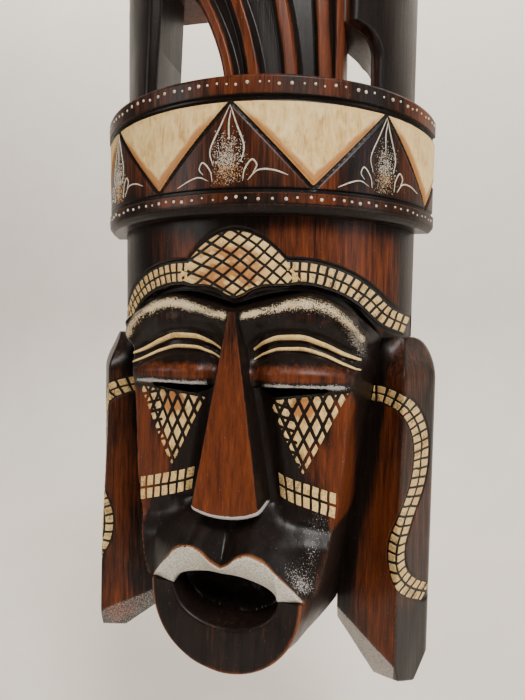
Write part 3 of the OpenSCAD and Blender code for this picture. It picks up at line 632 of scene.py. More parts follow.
def face_fields(x, z):
    """Depth of the carved face over the back, and its paint fields, which also hold painted sheen on the
    right side.
    """
    a, drop = np.abs(x), -z
    front, side = front_half(drop), outline_half(drop)
    front = front + 3.2 * (x < 0) * ramp(drop, 100, 125) * (1 - ramp(drop, 160, 206))
    mx, mz = mouth_local(x, z)
    inner = np.minimum(a, front)
    depth = log_depth(0.7 * inner) + track(drop, LEAN)

    # brow ridge, the dark valley above it and the socket below
    over = z - brow_z(a)
    depth -= 5.5 * ramp(over, 0.5, 6.5) * (1 - 0.4 * ramp(a, 50, 66))
    depth += 1.8 * bump(over, -1.0, 3.2) * ramp(a, 2, 10)
    depth -= 3.0 * ramp(-over, 3, 10) * ramp(a, 4, 12) * (1 - ramp(drop, 92, 102))

    # eyelid: a ball that ends in a sharp lower edge over the slit
    lid_low = lid_edge_z(x)
    ball = np.sqrt(clamp(1 - ((a - EYE_OFFSET - 2) / 27) ** 2))
    top = lid_line_z(a, 1) - 2
    lid = np.sin(clamp((top - z) / (top - lid_low)) * math.pi * 0.72) ** 0.8
    depth += 4.2 * ball * lid * ramp(z, lid_low - 0.5, lid_low + 0.5)
    upper, lower = lid_line_z(a, 0), lid_line_z(a, 1)
    fold = ramp(a, 8, 12) * (1 - ramp(a, 56, 64))
    grooves = ((upper + 3, 1.2, 1.1), ((upper + lower) / 2, 1.2, 0.9), (lower - 2.4, 1.0, 0.9))
    for height, size, spread in grooves:
        depth -= size * bump(z, height, spread) * fold

    # hollow beside the nose, running down to the muzzle
    channel = bump(a, nose_half(drop) + 4.5, 6.0) * ramp(drop, 84, 100)
    depth -= 4.5 * channel * (1 - 0.7 * ramp(drop, 168, 184))

    # cheek: nearly flat, with a soft fold under the patch
    depth -= 2.0 * bump(z, -178 - 4 * ramp(a, 20, 50), 5) * ramp(a, 16, 26) * (1 - ramp(a, 48, 56))

    # muzzle: rises to the sharp upper edge of the lip, with a groove down its middle
    lip_z, lip_d = lip_top_z(mx), lip_top_depth(mx)
    climb = clamp((-170 - mz) / (-170 - lip_z))
    near = 1 - ramp(a, 37, 50)
    depth = mix(depth, mix(depth, lip_d, climb ** 1.5), near)
    depth -= 4.2 * bump(mx, 0, 6) * np.sin(math.pi * clamp(climb, 0, 1)) ** 0.7 * (climb > 0)

    # steep sides down to the valley beside the ears
    run = np.maximum(np.where(drop < MOUTH_DROP, np.minimum(side - front, 20), side - front), 0.1)
    slope = clamp((a - front) / run)
    slope = slope ** 1.15 * (1 - 0.25 * (1 - slope) * slope)
    temple = log_depth(np.minimum(a, LOG_HALF)) * ramp(z, -100, -88)
    foot = np.maximum(ear_slope_depth(np.maximum(side, JAW_HALF)), temple)
    depth = mix(depth, foot, slope)
    arris = bump(a, front - 0.5, 1.6)

    # seats under the lips, and the bowl of the open mouth
    lower = mouth_radius(mx, mz, MOUTH_HALF, 1e-3, CHIN_DROP - MOUTH_DROP)
    seat = np.where(mz > -MOUTH_DROP, (mz < lip_z) & (np.abs(mx) < MOUTH_HALF), lower < 0.97)
    depth = np.where(seat, np.minimum(depth, LIP_SEAT + 0.5), depth)
    beyond = clamp((lower - 0.97) * MOUTH_HALF, 0, 40)
    depth = np.where((mz < -MOUTH_DROP) & ~seat, np.minimum(depth, LIP_DEPTH - 2.5 - 2.6 * beyond), depth)
    bowl = mouth_radius(mx, mz, HOLLOW_HALF, HOLLOW_RISE, HOLLOW_FALL)
    gouge = 0.9 * wander(x, z * 0.6 + x * 0.5, 5.5, 4) + 0.6 * wander(x, z, 2.6, 5)
    cup = MOUTH_FLOOR + gouge + 13 * clamp(bowl) ** 3
    depth = np.where(bowl < 1.04, np.minimum(depth, cup), depth)

    # pockets of the inlays
    depth -= inlay_pockets(x, z)

    # knife work
    knife = 0.28 * wander(x, z, (9, 24), 1) + 0.12 * wander(x, z, (3.5, 9), 2)
    depth += knife * ramp(bowl, 1.0, 1.1)

    slit_s = (a - EYE_OFFSET) / EYE_HALF
    slit_low = lid_low - EYE_HEIGHT * clamp(1 - slit_s ** 2)
    slit = ramp(lid_low + 0.1 - z, 0, 0.7) * ramp(z - slit_low, -0.7, 0.0) * (np.abs(slit_s) < 0.99)
    slit *= (1 - ramp(np.abs(slit_s), 0.93, 0.99))

    cheek_red = bump(a, 53, 6) * ramp(drop, 112, 122) * (1 - ramp(drop, 176, 186))
    cheek_red += 0.75 * bump(a, 40, 8) * bump(drop, 150, 16)
    lid_red = 0.75 * ball * ramp(drop, 98, 104) * (1 - ramp(drop, 108, 111))
    lid_red += 0.35 * bump(over, -8, 4) * bump(a, 36, 18)
    lip_red = 0.25 * bump(a, 30, 16) * ramp(drop, 182, 194)
    red = clamp(cheek_red + lid_red + lip_red + 0.35 * arris * ramp(drop, 96, 120))
    wear = 0.25 * arris * ramp(drop, 100, 120) * (1 - ramp(drop, 186, 200))
    wear += 0.9 * bump(mz, lip_z + 0.4, 1.3) * (a < MOUTH_HALF) * ramp(drop, 180, 188)
    brow = bump(over, -1.6, mix(2.2, 3.6, ramp(a, 5, 40))) * ramp(a, 1.5, 5) * (1 - ramp(a, 60, 66))
    lid_edge = bump(z, lid_low + 1.0, 1.25 + 0.5 * wander(x, z, (6, 30), 7))
    silver_and_sheen = 0.95 * lid_edge * ramp(a, 12, 16) * (1 - ramp(a, 52, 57))
    # right side only: the streak at x 44 is silver stipple with painted glint, and the spots at x 34 above
    # the lip and at x 58 under the brow are painted sheen from the light on the right
    silver_and_sheen += 0.28 * bump(x, 44 - 0.2 * (drop - 170), 6) * ramp(drop, 162, 180) * (1 - ramp(drop, 205, 212))
    silver_and_sheen += 0.35 * bump(z, lip_z + 5, 5) * bump(x, 34, 9) * ramp(drop, 190, 196)
    silver_and_sheen += 0.62 * bump(over, -6, 6) * bump(x, 58, 6)
    cream = (0.80 + 0.25 * wander(x, z, (5, 2.5), 6)) * brow
    return depth, {"slit": slit, "red": red, "wear": wear, "cream": cream, "silver_and_sheen": silver_and_sheen}


def ear_end(side):
    """Lowest drop of an ear, the drop where its cut leaves the jaw, and the X of its tip."""
    if side > 0:
        return EAR_DROP, EAR_CUT_DROP, RIDGE_X - 3
    return EAR_DROP - EAR_LEFT_RISE, EAR_CUT_DROP - EAR_LEFT_RISE, RIDGE_X - 3 + EAR_LEFT_SHIFT


def ear_lean(drop, side):
    """How far an ear's ridge and ribbon are moved out, more and more towards its lower end."""
    return EAR_FLARE[side] * ramp(drop, 100, 250)


def ear_edges(z, side):
    """Inner and outer edge and ridge of an ear at a height, drawn for the right half."""
    drop = -z
    low, cut, tip = ear_end(side)
    corner = 0.85 * (EAR_HALF - tip)
    inner = np.where(drop < JAW_DROP, side_half(drop),
                     np.interp(drop, [cut, low - 2, low], [JAW_HALF, tip - 7, tip - 3]))
    lift = clamp((drop - SIDE_DROP) / SHOULDER_RISE)
    outer = LOG_HALF + (EAR_HALF - LOG_HALF) * np.sqrt(np.maximum(1 - (1 - lift) ** 2, 0))
    outer = np.minimum(outer, np.interp(drop, [low - corner, low - 0.3 * corner, low],
                                        [EAR_HALF, mix(tip, EAR_HALF, 0.62), tip + 1]))
    ridge = np.minimum(RIDGE_X + ear_lean(drop, side), outer - 2)
    return inner, outer, ridge


def ear_depth(x, z, side):
    """Depth of an ear's carved front, drawn for the right half, and where its slanted cut is."""
    drop = -z
    _, _, ridge = ear_edges(z, side)
    slope_in = mix(EAR_FOOT_DEPTH, RIDGE_DEPTH, (x - JAW_HALF) / (ridge - JAW_HALF))
    slope_out = mix(RIDGE_DEPTH, EAR_EDGE_DEPTH, (x - ridge) / (EAR_HALF - ridge))
    depth = -np.logaddexp(-slope_in * 1.3, -slope_out * 1.3) / 1.3
    depth = depth - 15 * (1 - ramp(drop, SIDE_DROP - 2, SIDE_DROP + 22)) * ramp(x, 66, 84)
    depth -= 2.2 * bump(x, 74 - 0.05 * (drop - 100), 9) * ramp(drop, 108, 130) * (1 - ramp(drop, 215, 240))
    # the slanted cut and the lower end: bevels from near the wall up to the ear's front
    low, top, tip = ear_end(side)
    angle = math.atan2(low - 2 - top, tip - 7 - JAW_HALF) + BEVEL_TURN
    away = (x - JAW_HALF) * math.sin(angle) + (z + top) * math.cos(angle)
    cut = BEVEL_FOOT + CUT_SLOPE * away
    end = BEVEL_FOOT + END_SLOPE * (z + low)
    bevel = ramp(depth - cut, -0.2, 0.6) * ramp(drop, 190, 205) * (x < tip + 2)
    depth = np.where(drop > 190, -np.logaddexp(-depth * 2.0, -np.minimum(cut, end) * 2.0) / 2.0, depth)
    depth += 0.3 * wander(x, z, (8, 26), 11) + 0.12 * wander(x, z, (3, 10), 12)
    return np.maximum(depth, 2.0), bevel


# ------------------------------------------------------------------ forehead


def forehead():
    """The log over the brows, hollow behind, with a soft dip towards the valley."""
    reach = math.acos(SETBACK / LOG_RADIUS) - 0.004
    x = LOG_RADIUS * np.sin(np.linspace(-reach, reach, 250))
    low = np.where(np.abs(x) < TEMPLE_HALF, valley_z(x), -SIDE_DROP)
    break_z = -BAND_HALF + 2
    z = np.vstack([mix(BAND_HALF, break_z, down(6)) + 0 * x, mix(break_z, low, down(110))[1:]])
    x = np.broadcast_to(x, z.shape)
    over = z - brow_z(np.abs(x))
    depth = log_depth(x)
    dip = 4.5 * (1 - ramp(over, 6.0, 12.5)) * (1 - ramp(np.abs(x), 62, 74))
    knife = 0.12 * wander(x, z, (14, 30), 21)
    fade = ramp(depth, 0.5, 6)
    pocket, outline = forehead_pocket(x, z)
    front = np.maximum(depth - (dip + knife) * fade - POCKET * pocket - 0.5 * outline * (1 - pocket), 0.4)
    hollow = np.where((z < -LOG_HOLLOW_DROP) & (np.abs(x) < LOG_HOLLOW_RADIUS),
                      np.maximum(log_depth(x, LOG_HOLLOW_RADIUS), 0), 0)
    strap_low = node_box("hanger_strap")[0]
    ring_high = node_box("hanger_ring")[1]
    recess = (np.abs(x) < 12) & (z < ring_high[2] + 1.5) & (z > strap_low[2] - 1.5)
    hollow = np.maximum(hollow, np.where(recess, -strap_low[1], 0))
    # painted light and shade in the red-brown: lighter on the right side, darker towards the left, beside the
    # right edge and in a patch left of the middle under the band
    painted_light_and_shade = 0.46 + 0.2 * bump(x, 40, 40) - 0.45 * ramp(-x, 40, 80) - 0.3 * bump(x, 84, 10)
    painted_light_and_shade -= 0.22 * bump(x, -8, 16) * ramp(z, -48, -34)
    # painted shade: a darker strip just under the headband's lower edge
    red = clamp(painted_light_and_shade * ramp(over, 8, 14) - 0.25 * bump(z, -BAND_HALF - 1, 4)) * (1 - outline)
    obj = slab("forehead", at_depth(x, z, front), at_depth(x, z, hollow), {"red": red})
    finish_piece(obj, WOOD, ["forehead_block"])


def crest_edges(x):
    """Upper and lower edge of the crest."""
    a = np.abs(x)
    return (track(a, [(0, -36.3), (6, -37.4), (12, -40), (18, -44.2), (24, -50), (32, -60.3)]),
            track(a, [(0, -69.5), (4, -68), (9, -65), (15, -63.4), (24, -63), (32, -61.6)]))


def forehead_pocket(x, z):
    """1 where the forehead is carved away for its inlays, and 1 on those and their dark outline."""
    top, low = crest_edges(np.clip(x, -CREST_HALF, CREST_HALF))
    inside = np.minimum(np.minimum(top - z, z - low), CREST_HALF - np.abs(x))
    line, _ = route(BAND_ROUTE, 90)
    inside = np.maximum(inside, BAND_WIDTH / 2 - line_gap(np.abs(x), z, line))
    return ramp(inside, -0.7, -0.1), ramp(inside, -1.7, -0.9)


BAND_ROUTE = [(23, -56.5), (37, -57), (51, -61), (62, -67.5), (72, -76.5), (84, -82)]
BAND_WIDTH = 11.5


def inlay(name, x, z, surface, fields, replaced, proud=0.2):
    """Filler in a carved pocket: cream cells between black cuts, over the surface it follows."""
    depth = surface + proud - 0.9 * fields["groove"] + 0.10 * wander(x, z, 2.2, 31)
    obj = slab(name, at_depth(x, z, depth), at_depth(x, z, surface - INLAY_THICK - 0.4), fields)
    finish_piece(obj, INLAY, [replaced])


def lines(value, pitch, width):
    """1 on evenly spaced lines, falling to 0 beside them."""
    gap = np.abs((value / pitch + 0.5) % 1.0 - 0.5) * pitch
    return 1 - ramp(gap, width * 0.45, width * 1.05)


def cell_tone(i, j, seed):
    """A random tone for each cell of a lattice."""
    table = np.random.default_rng(seed).uniform(0, 1, (64, 64))
    return table[np.floor(i).astype(int) % 64, np.floor(j).astype(int) % 64]


def forehead_crest():
    """The leaf-shaped lattice in the middle of the forehead."""
    x = CREST_HALF * across(200, -1, 1)
    top, low = crest_edges(x)
    z = mix(top, low, down(100))
    x = np.broadcast_to(x, z.shape)
    bend = 0.010 * x ** 2
    first = z + 0.62 * x + 0.5 * bend + 0.5 * wander(x, z, 9, 41)
    second = z - 0.85 * x - 0.6 * bend + 0.5 * wander(x, z, 9, 42)
    cuts = np.maximum(lines(first, 6.2, 1.05), lines(second, 6.8, 1.05))
    rim = np.minimum(np.minimum(top - z, z - low), CREST_HALF - np.abs(x))
    border = 1 - ramp(rim, 0.4, 1.3)
    groove = np.maximum(cuts, border)
    tone = cell_tone(first / 6.2 + 0.5, second / 6.8 + 0.5, 43)
    centre = bump(x, -4, 16) * bump(z, -56, 12)
    fields = {"groove": groove, "edge": clamp(0.25 + 0.9 * centre * (0.4 + tone) + 0.25 * (tone - 0.5)),
              "dirt": clamp(0.30 + 0.3 * bump(z, -70, 6) * tone)}
    inlay("forehead_crest_lattice", x, z, log_depth(x), fields, "forehead_crest")


def strip(points, width, count, rows):
    """A net along a route: rows across it, columns along it, with its two coordinates in millimetres."""
    path, normal, length = walk(points, count)
    t = down(rows, 0.5, -0.5)
    x = path[:, 0] + t * width * normal[:, 0]
    z = path[:, 1] + t * width * normal[:, 1]
    s = np.broadcast_to(np.linspace(0, length, count), x.shape)
    return x, z, s, t * width + 0 * x


def ladder(s, t, width, pitch, seed):
    """Two rows of cells between black cuts, for bands and ribbons."""
    shift = 0.35 * wander(s, t, (6, 3), seed)
    rungs = np.maximum(lines(s + shift, pitch, 0.85), 1 - ramp(s, 1.6, 2.2))
    rail = 1 - ramp(np.abs(t + 0.3 * wander(s, 0 * s, 9, seed + 1)), 0.3, 0.75)
    border = ramp(np.abs(t), width / 2 - 1.6, width / 2 - 1.0)
    tone = cell_tone((s + shift) / pitch + 0.5, t > 0, seed + 2)
    return {"groove": np.maximum(np.maximum(rungs, rail), border),
            "edge": clamp(0.25 + 0.5 * (tone - 0.3)), "dirt": clamp(0.28 + 0.35 * (1 - tone))}


def forehead_band(side):
    """A two-row band from the crest down to the side of the log."""
    x, z, s, t = strip(BAND_ROUTE, BAND_WIDTH, 230, 33)
    fields = ladder(s, t, BAND_WIDTH, 4.0, 50 + side)
    x = np.minimum(x, LOG_HALF - 1.0)
    z = np.minimum(z, track(x, [(20, -50.5), (30, -51), (90, -30)]))
    x, z, surface, fields = on_side(side, x, z, log_depth(x), fields)
    inlay(f"forehead_ladder_{WORDS[side]}", x, z, surface, fields, f"forehead_band_{WORDS[side]}")


# ------------------------------------------------------------------ headband

RIM = 9.0
GROOVE = 1.8
PANEL_ANGLES = [-67.5, -22.5, 22.5, 67.5]
PANEL_TOP = BAND_HALF - RIM - GROOVE
PANEL_SPAN = math.radians(45)
BAND_REACH = math.acos(SETBACK / BAND_RADIUS)


def band_point(angle, z, radius):
    angle, z, radius = np.broadcast_arrays(angle, z, radius)
    return np.stack([radius * np.sin(angle), SETBACK - radius * np.cos(angle), z], -1)


def triangle_inside(angle, z):
    """Distance inside the nearest cream triangle of the band, in millimetres; negative outside."""
    best = np.full(np.broadcast(angle, z).shape, -1e9)
    half = BAND_RADIUS * PANEL_SPAN / 2 - 1.2
    height = 2 * PANEL_TOP - 2.2
    for degrees in PANEL_ANGLES:
        s = BAND_RADIUS * (angle - math.radians(degrees))
        down = PANEL_TOP - 0.6 - z
        side = (half * (1 - down / height) - np.abs(s)) * height / math.hypot(height, half)
        best = np.maximum(best, np.minimum(side, down))
    return best


def headband():
    """The turned band: dotted rims, grooves, and a field cut by the triangles' black outlines."""
    edge = math.acos(SETBACK / BAND_RADIUS) - 0.003
    angle = across(300, -edge, edge)
    profile = [(-BAND_HALF, -2.6), (-BAND_HALF + 0.8, -1.6), (-BAND_HALF + 2.6, -0.2),
               (-BAND_HALF + 3.4, 0.0),
               (-BAND_HALF + RIM - 0.4, 0.0), (-BAND_HALF + RIM + 0.3, -1.3), (-BAND_HALF + RIM + 1.5, -1.3),
               (-BAND_HALF + RIM + 2.1, -0.6), (PANEL_TOP - 0.3, -0.6), (PANEL_TOP + 0.3, -1.4),
               (PANEL_TOP + 1.5, -1.4), (PANEL_TOP + 2.1, 0.0), (BAND_HALF - 1.3, 0.0),
               (BAND_HALF - 0.4, -0.4),
               (BAND_HALF, -1.2)]
    knots = np.array([p[0] for p in profile])
    z = np.unique(np.concatenate([np.linspace(-BAND_HALF, BAND_HALF, 118), knots]))[::-1, None]
    lift = np.interp(z, knots, [p[1] for p in profile])
    waver = 0.25 * wander(angle * 100, z, (22, 40), 61)
    inside = triangle_inside(angle, z)
    outline = bump(inside, -0.9, 0.75) * ramp(PANEL_TOP + 0.5 - z, 0, 0.5)
    outline *= ramp(z, -PANEL_TOP - 1, -PANEL_TOP)
    sunk = 1.2 * ramp(inside, -0.2, 0.6)
    radius = BAND_RADIUS + lift + waver - 1.1 * outline - sunk
    outer = band_point(angle, z, radius)
    outer[..., 1] = np.minimum(outer[..., 1], -0.2)
    inner = band_point(angle * 0.997, z, LOG_RADIUS + 0 * radius)
    inner[..., 1] = np.minimum(inner[..., 1], 0.0)
    dark = np.maximum(outline, bump(z, -BAND_HALF + RIM + 0.9, 1.0) + bump(z, PANEL_TOP + 0.9, 1.0))
    # painted shade: the band's lower rounded edge is darkened
    dark = clamp(dark + ramp(-z, BAND_HALF - 4.5, BAND_HALF - 3.0))
    wear = 0.55 * bump(z, -BAND_HALF + RIM - 0.6, 0.6) + 0.4 * bump(z, PANEL_TOP + 2.3, 0.5)
    wear = wear + 0.5 * bump(z, -BAND_HALF + 3.2, 0.6)
    obj = slab("band_ring", outer, inner,
               {"red": clamp(0.50 + 0.25 * wander(angle * 100, z, (16, 30), 62) - 1.2 * dark),
                "wear": wear * (1 - 0.6 * outline)})
    finish_piece(obj, WOOD, ["headband"])


def band_triangle(number, degrees):
    """One cream triangle, brushed, its edges aged to orange."""
    half = BAND_RADIUS * PANEL_SPAN / 2 - 1.5
    height = 2 * PANEL_TOP - 2.8
    t, u = down(90), across(110, -1, 1)
    tip = 0.012
    s = u * half * (1 - t * (1 - tip))
    z = PANEL_TOP - 0.9 - t * height + 0 * u
    angle = math.radians(degrees) + s / BAND_RADIUS
    inside = np.minimum((half * (1 - t) - np.abs(s)) * height / math.hypot(height, half), t * height)
    radius = BAND_RADIUS - 0.9 + 0.55 * ramp(inside, 0, 1.2) + 0.12 * wander(s, z, (5, 9), 70 + number)
    angle = np.clip(angle, -BAND_REACH + 0.006, BAND_REACH - 0.006)
    low = 1 - ramp(inside, 0.2, 5.0)
    obj = slab(f"band_triangle_{number}", band_point(angle, z, radius),
               band_point(angle, z, BAND_RADIUS - 2.4 + 0 * radius),
               {"edge": clamp(0.12 + 0.8 * low * ramp(t, 0.05, 0.4) + 0.35 * low + 0.3 * ramp(t, 0.5, 1)),
                "groove": 0 * s, "dirt": 0.10 + 0.15 * low})
    finish_piece(obj, PANEL, [f"band_panel_{number}"])


def dome_faces(start, sides):
    """Faces of one dome: two rings of quads, and a fan of quads for its top and its bottom."""
    faces = []
    for level in (0, 1):
        for k in range(sides):
            a, b = start + level * sides + k, start + level * sides + (k + 1) % sides
            faces.append((a, b, b + sides, a + sides))
    for base, order in ((start + 2 * sides, 1), (start, -1)):
        for k in range(1, sides - 2, 2):
            quad = (base, base + k, base + k + 1, base + k + 2)
            faces.append(quad[::order])
    return faces


def domes(name, places, material, sides=8):
    """Small domes of paint standing on the band."""
    ring = np.linspace(0, 2 * math.pi, sides, endpoint=False)
    points, faces = [], []
    for angle, z, size, base in places:
        faces += dome_faces(len(points), sides)
        for share, lift in ((1.0, -0.3), (0.8, 0.30), (0.4, 0.48)):
            for a in ring:
                s, dz = size * share * math.cos(a), size * share * math.sin(a)
                points.append(band_point(angle + s / base, z + dz, base + lift * min(size, 0.9)))
    obj = write_mesh(name, np.array(points).reshape(-1, 3), faces, None, 60)
    finish_piece(obj, material, [])


def band_dots():
    """A row of irregular dots along each rim."""
    rng = np.random.default_rng(80)
    places = []
    for z in (BAND_HALF - 4.1, -BAND_HALF + 6.2):
        angle = -BAND_REACH + 0.03
        while angle < BAND_REACH - 0.03:
            size = rng.uniform(0.5, 0.95)
            places.append((angle, z + rng.uniform(-0.6, 0.6), size, BAND_RADIUS + 0.1))
            angle += rng.uniform(0.040, 0.066)
    domes("band_dots", places, WHITE)


def stroke(points, size, base):
    """A thin line of paint along a route on the band, as rings of a flat tube."""
    path, normal, _ = walk(points, 14 * len(points))
    taper = np.sin(np.linspace(0.12, math.pi - 0.25, len(path))) ** 0.6
    rings = []
    for share, lift in ((1, -0.3), (0.6, 0.42), (-0.6, 0.42), (-1, -0.3)):
        p = path + normal * (share * size * taper)[:, None]
        rings.append(band_point(p[:, 0] / BAND_RADIUS, p[:, 1], base + lift * size))
    return np.stack(rings, 1)


def band_flower(number, degrees):
    """A painted flower in a dark triangle: two petals, curls, leaves and a stippled heart."""
    middle = BAND_RADIUS * math.radians(degrees)
    base = BAND_RADIUS - 0.55
    foot = -PANEL_TOP + 2.2
    shapes = [
        [(0, 17.5), (-4.2, 9), (-9.5, -2), (-8.2, -9)],
        [(0, 17.5), (3.0, 9), (6.6, -1), (5.2, -8)],
        [(0.4, 15), (-0.6, 9), (-0.4, 2)],
        [(-8.4, foot + 1), (-9.5, foot + 6), (-13.2, foot + 10), (-15.0, foot + 7), (-13.0, foot + 4.4)],
        [(6.2, foot + 1), (7.0, foot + 6), (10.2, foot + 10.4), (12.6, foot + 8), (11.0, foot + 4.6)],
        [(-10.4, foot + 1.5), (-15, foot + 3.4), (-20, foot + 2.4), (-27, foot - 0.6)],
        [(8.4, foot + 1.2), (13, foot + 5.6), (20, foot + 5.8), (27, foot + 3.6)],
    ]
    points, faces = [], []
    for shape in shapes:
        rings = stroke([(middle + s, z) for s, z in shape], 0.42, base)
        start, count = len(points), len(rings)
        points += list(rings.reshape(-1, 3))
        for i in range(count - 1):
            for k in range(4):
                a, b = start + 4 * i + k, start + 4 * i + (k + 1) % 4
                faces.append((a, b, b + 4, a + 4))
        faces.append((start + 3, start + 2, start + 1, start))
        end = start + 4 * (count - 1)
        faces.append((end, end + 1, end + 2, end + 3))
    points = np.array(points)
    inside = np.abs(np.arctan2(points[:, 0], SETBACK - points[:, 1])) < BAND_REACH
    points[~inside, 1] = np.minimum(points[~inside, 1], -0.3)
    obj = write_mesh(f"band_flower_{number}", points, faces, None, 60)
    finish_piece(obj, WHITE, [])


def flower_hearts():
    """The stippled heart of each flower, in white and ochre specks."""
    rng = np.random.default_rng(90)
    white, ochre = [], []
    for degrees in (-45, 0, 45):
        for _ in range(1150):
            s, z = rng.normal(-1.2, 3.7), rng.normal(-7.5, 6.2)
            if not (-PANEL_TOP + 1.5 < z < 9 and abs(s) < 9):
                continue
            angle = math.radians(degrees) + s / BAND_RADIUS
            low = z < -9 and rng.uniform() < 0.62
            (ochre if low else white).append((angle, z, rng.uniform(0.12, 0.25), BAND_RADIUS - 0.55))
    domes("flower_specks_white", white, WHITE, 6)
    domes("flower_specks_ochre", ochre, OCHRE, 6)


# ------------------------------------------------------------------ face


def face():
    """The face block: carved front, hollow back, open eye slits and a blind mouth."""
    rows, cols = 250, 190
    t = track(down(rows), [(0, 0), (0.18, 0.24), (0.5, 0.52), (0.8, 0.8), (1, 1)])
    u = across(cols, -1, 1)
    x = u * mix(TEMPLE_HALF, JAW_HALF, t)
    z = mix(valley_z(u * TEMPLE_HALF), jaw_z(u), t)
    depth, fields = face_fields(x, z)
    slit = fields.pop("slit")
    drop = -z
    hollow_half = side_half(np.minimum(drop, HOLLOW_END)) - HOLLOW_WALL
    hollow = (np.abs(x) < hollow_half) & (drop < HOLLOW_END)
    back = np.where(hollow, FACE_HOLLOW_DEPTH, 0.0)
    depth = np.maximum(mix(depth, FACE_HOLLOW_DEPTH + 1.2, slit), back + 1.0)
    cut = slit > 0.5
    keep = ~(cut[:-1, :-1] & cut[1:, :-1] & cut[:-1, 1:] & cut[1:, 1:])
    slant = SLIT_SLANT * bump(z, -EYE_DROP - 3, 9) * (np.abs(x) < HOLLOW_REACH)
    obj = slab("carved_face", at_depth(x, z, depth), at_depth(x, z + slant, back), fields, keep)
    finish_piece(obj, WOOD, ["face_block"])


def lid_lines(side):
    """Two rounded cream lines over an eye."""
    for row, place in enumerate(("upper", "lower")):
        a = np.linspace(8.5, 60.5, 120)
        centre = lid_line_z(a, row)
        width = (2.9 if row == 0 else 2.0) * np.sin(np.linspace(0.22, math.pi - 0.12, 120)) ** 0.45
        t = down(9, 0.5, -0.5)
        z = centre + t * width
        x = np.broadcast_to(a, z.shape)
        surface, _ = face_fields(x, z)
        round_top = 0.9 * np.sqrt(clamp(1 - (2 * t) ** 2))
        fields = {"edge": 0.15, "dirt": clamp(0.2 + 0.5 * (2 * np.abs(t)) ** 4)}
        x, z, surface, fields = on_side(side, x, z, surface, fields)
        obj = slab(f"lid_line_{WORDS[side]}_{place}", at_depth(x, z, surface + round_top - 0.1),
                   at_depth(x, z, surface - INLAY_THICK), fields)
        finish_piece(obj, INLAY, [f"lid_lines_{WORDS[side]}"] if row == 0 else [])


def side_corners(net, side, widen=0.0):
    """A net's corners on one side of the face, clockwise from the top left."""
    corners = [(side * (x + (widen if side < 0 and x > 40 else 0.0)), z) for x, z in net]
    return corners if side < 0 else [corners[k] for k in (1, 0, 3, 2)]


def field_net(corners, rows, cols):
    """A net over four corners that run clockwise from the top left."""
    (ax, az), (bx, bz), (cx, cz), (dx, dz) = corners
    t, u = down(rows), across(cols)
    x = mix(mix(ax, bx, u), mix(dx, cx, u), t)
    z = mix(mix(az, bz, u), mix(dz, cz, u), t)
    return x, z, u + 0 * t, t + 0 * u


def bare_face_depth(x, z):
    """The face's surface with its inlay pockets filled."""
    return face_fields(x, z)[0] + inlay_pockets(x, z)


def eye_lattice(side):
    """The triangle under an eye: diamonds between crossed cuts, one of them orange."""
    corners = side_corners(LATTICE, side)
    x, z, u, t = field_net(corners, 120, 130)
    a = np.abs(x)
    first = (z + 2.1 * (a - 34)) + 0.5 * wander(x, z, 8, 101)
    second = (z - 2.1 * (a - 34)) + 0.5 * wander(x, z, 8, 102)
    cuts = np.maximum(lines(first, 12.5, 2.2), lines(second, 12.5, 2.2))
    ladder_left = lines(z + 0.3 * a, 5.2, 0.9) * (u < 0.5) * ramp(0.32 - u, 0, 0.03)
    width = np.abs(corners[1][0] - corners[0][0]) * (1 - t)
    from_side = np.minimum(u, 1 - u) * width * 0.9
    border = 1 - ramp(np.minimum(from_side, t * 38), 0.5, 1.4)
    i, j = first / 12.5 + 0.5, second / 12.5 + 0.5
    tone = cell_tone(i, j, 103)
    heart = bump(a, 34, 5.0) * bump(z, LATTICE_TOP - 6, 5.0)
    fields = {"groove": np.maximum(np.maximum(cuts, border), ladder_left * 0.9),
              "edge": clamp(0.15 + 0.3 * tone + 1.6 * heart), "dirt": clamp(0.26 + 0.3 * tone * (1 - heart))}
    name = f"eye_lattice_{WORDS[side]}"
    inlay(f"{name}_inlay", x, z, bare_face_depth(x, z), fields, name)


def cheek_patch(side):
    """The ladder on a cheek: two rows of cells."""
    x, z, u, t = field_net(side_corners(PATCH, side, PATCH_WIDEN), 60, 130)
    long, tall = 31.0, 12.8
    rungs = lines(u * long + 0.4 * wander(x, z, 5, 111), long / 7, 0.7)
    rail = 1 - ramp(np.abs(t - 0.5) * tall, 0.3, 0.85)
    border = 1 - ramp(np.minimum(np.minimum(u, 1 - u) * long, np.minimum(t, 1 - t) * tall), 0.3, 0.8)
    tone = cell_tone(u * 7, t * 2, 112 + side)
    fields = {"groove": np.maximum(np.maximum(rungs, rail), border),
              "edge": clamp(0.15 + 0.4 * tone), "dirt": clamp(0.24 + 0.35 * (1 - tone))}
    name = f"cheek_patch_{WORDS[side]}"
    inlay(f"{name}_inlay", x, z, bare_face_depth(x, z), fields, name)


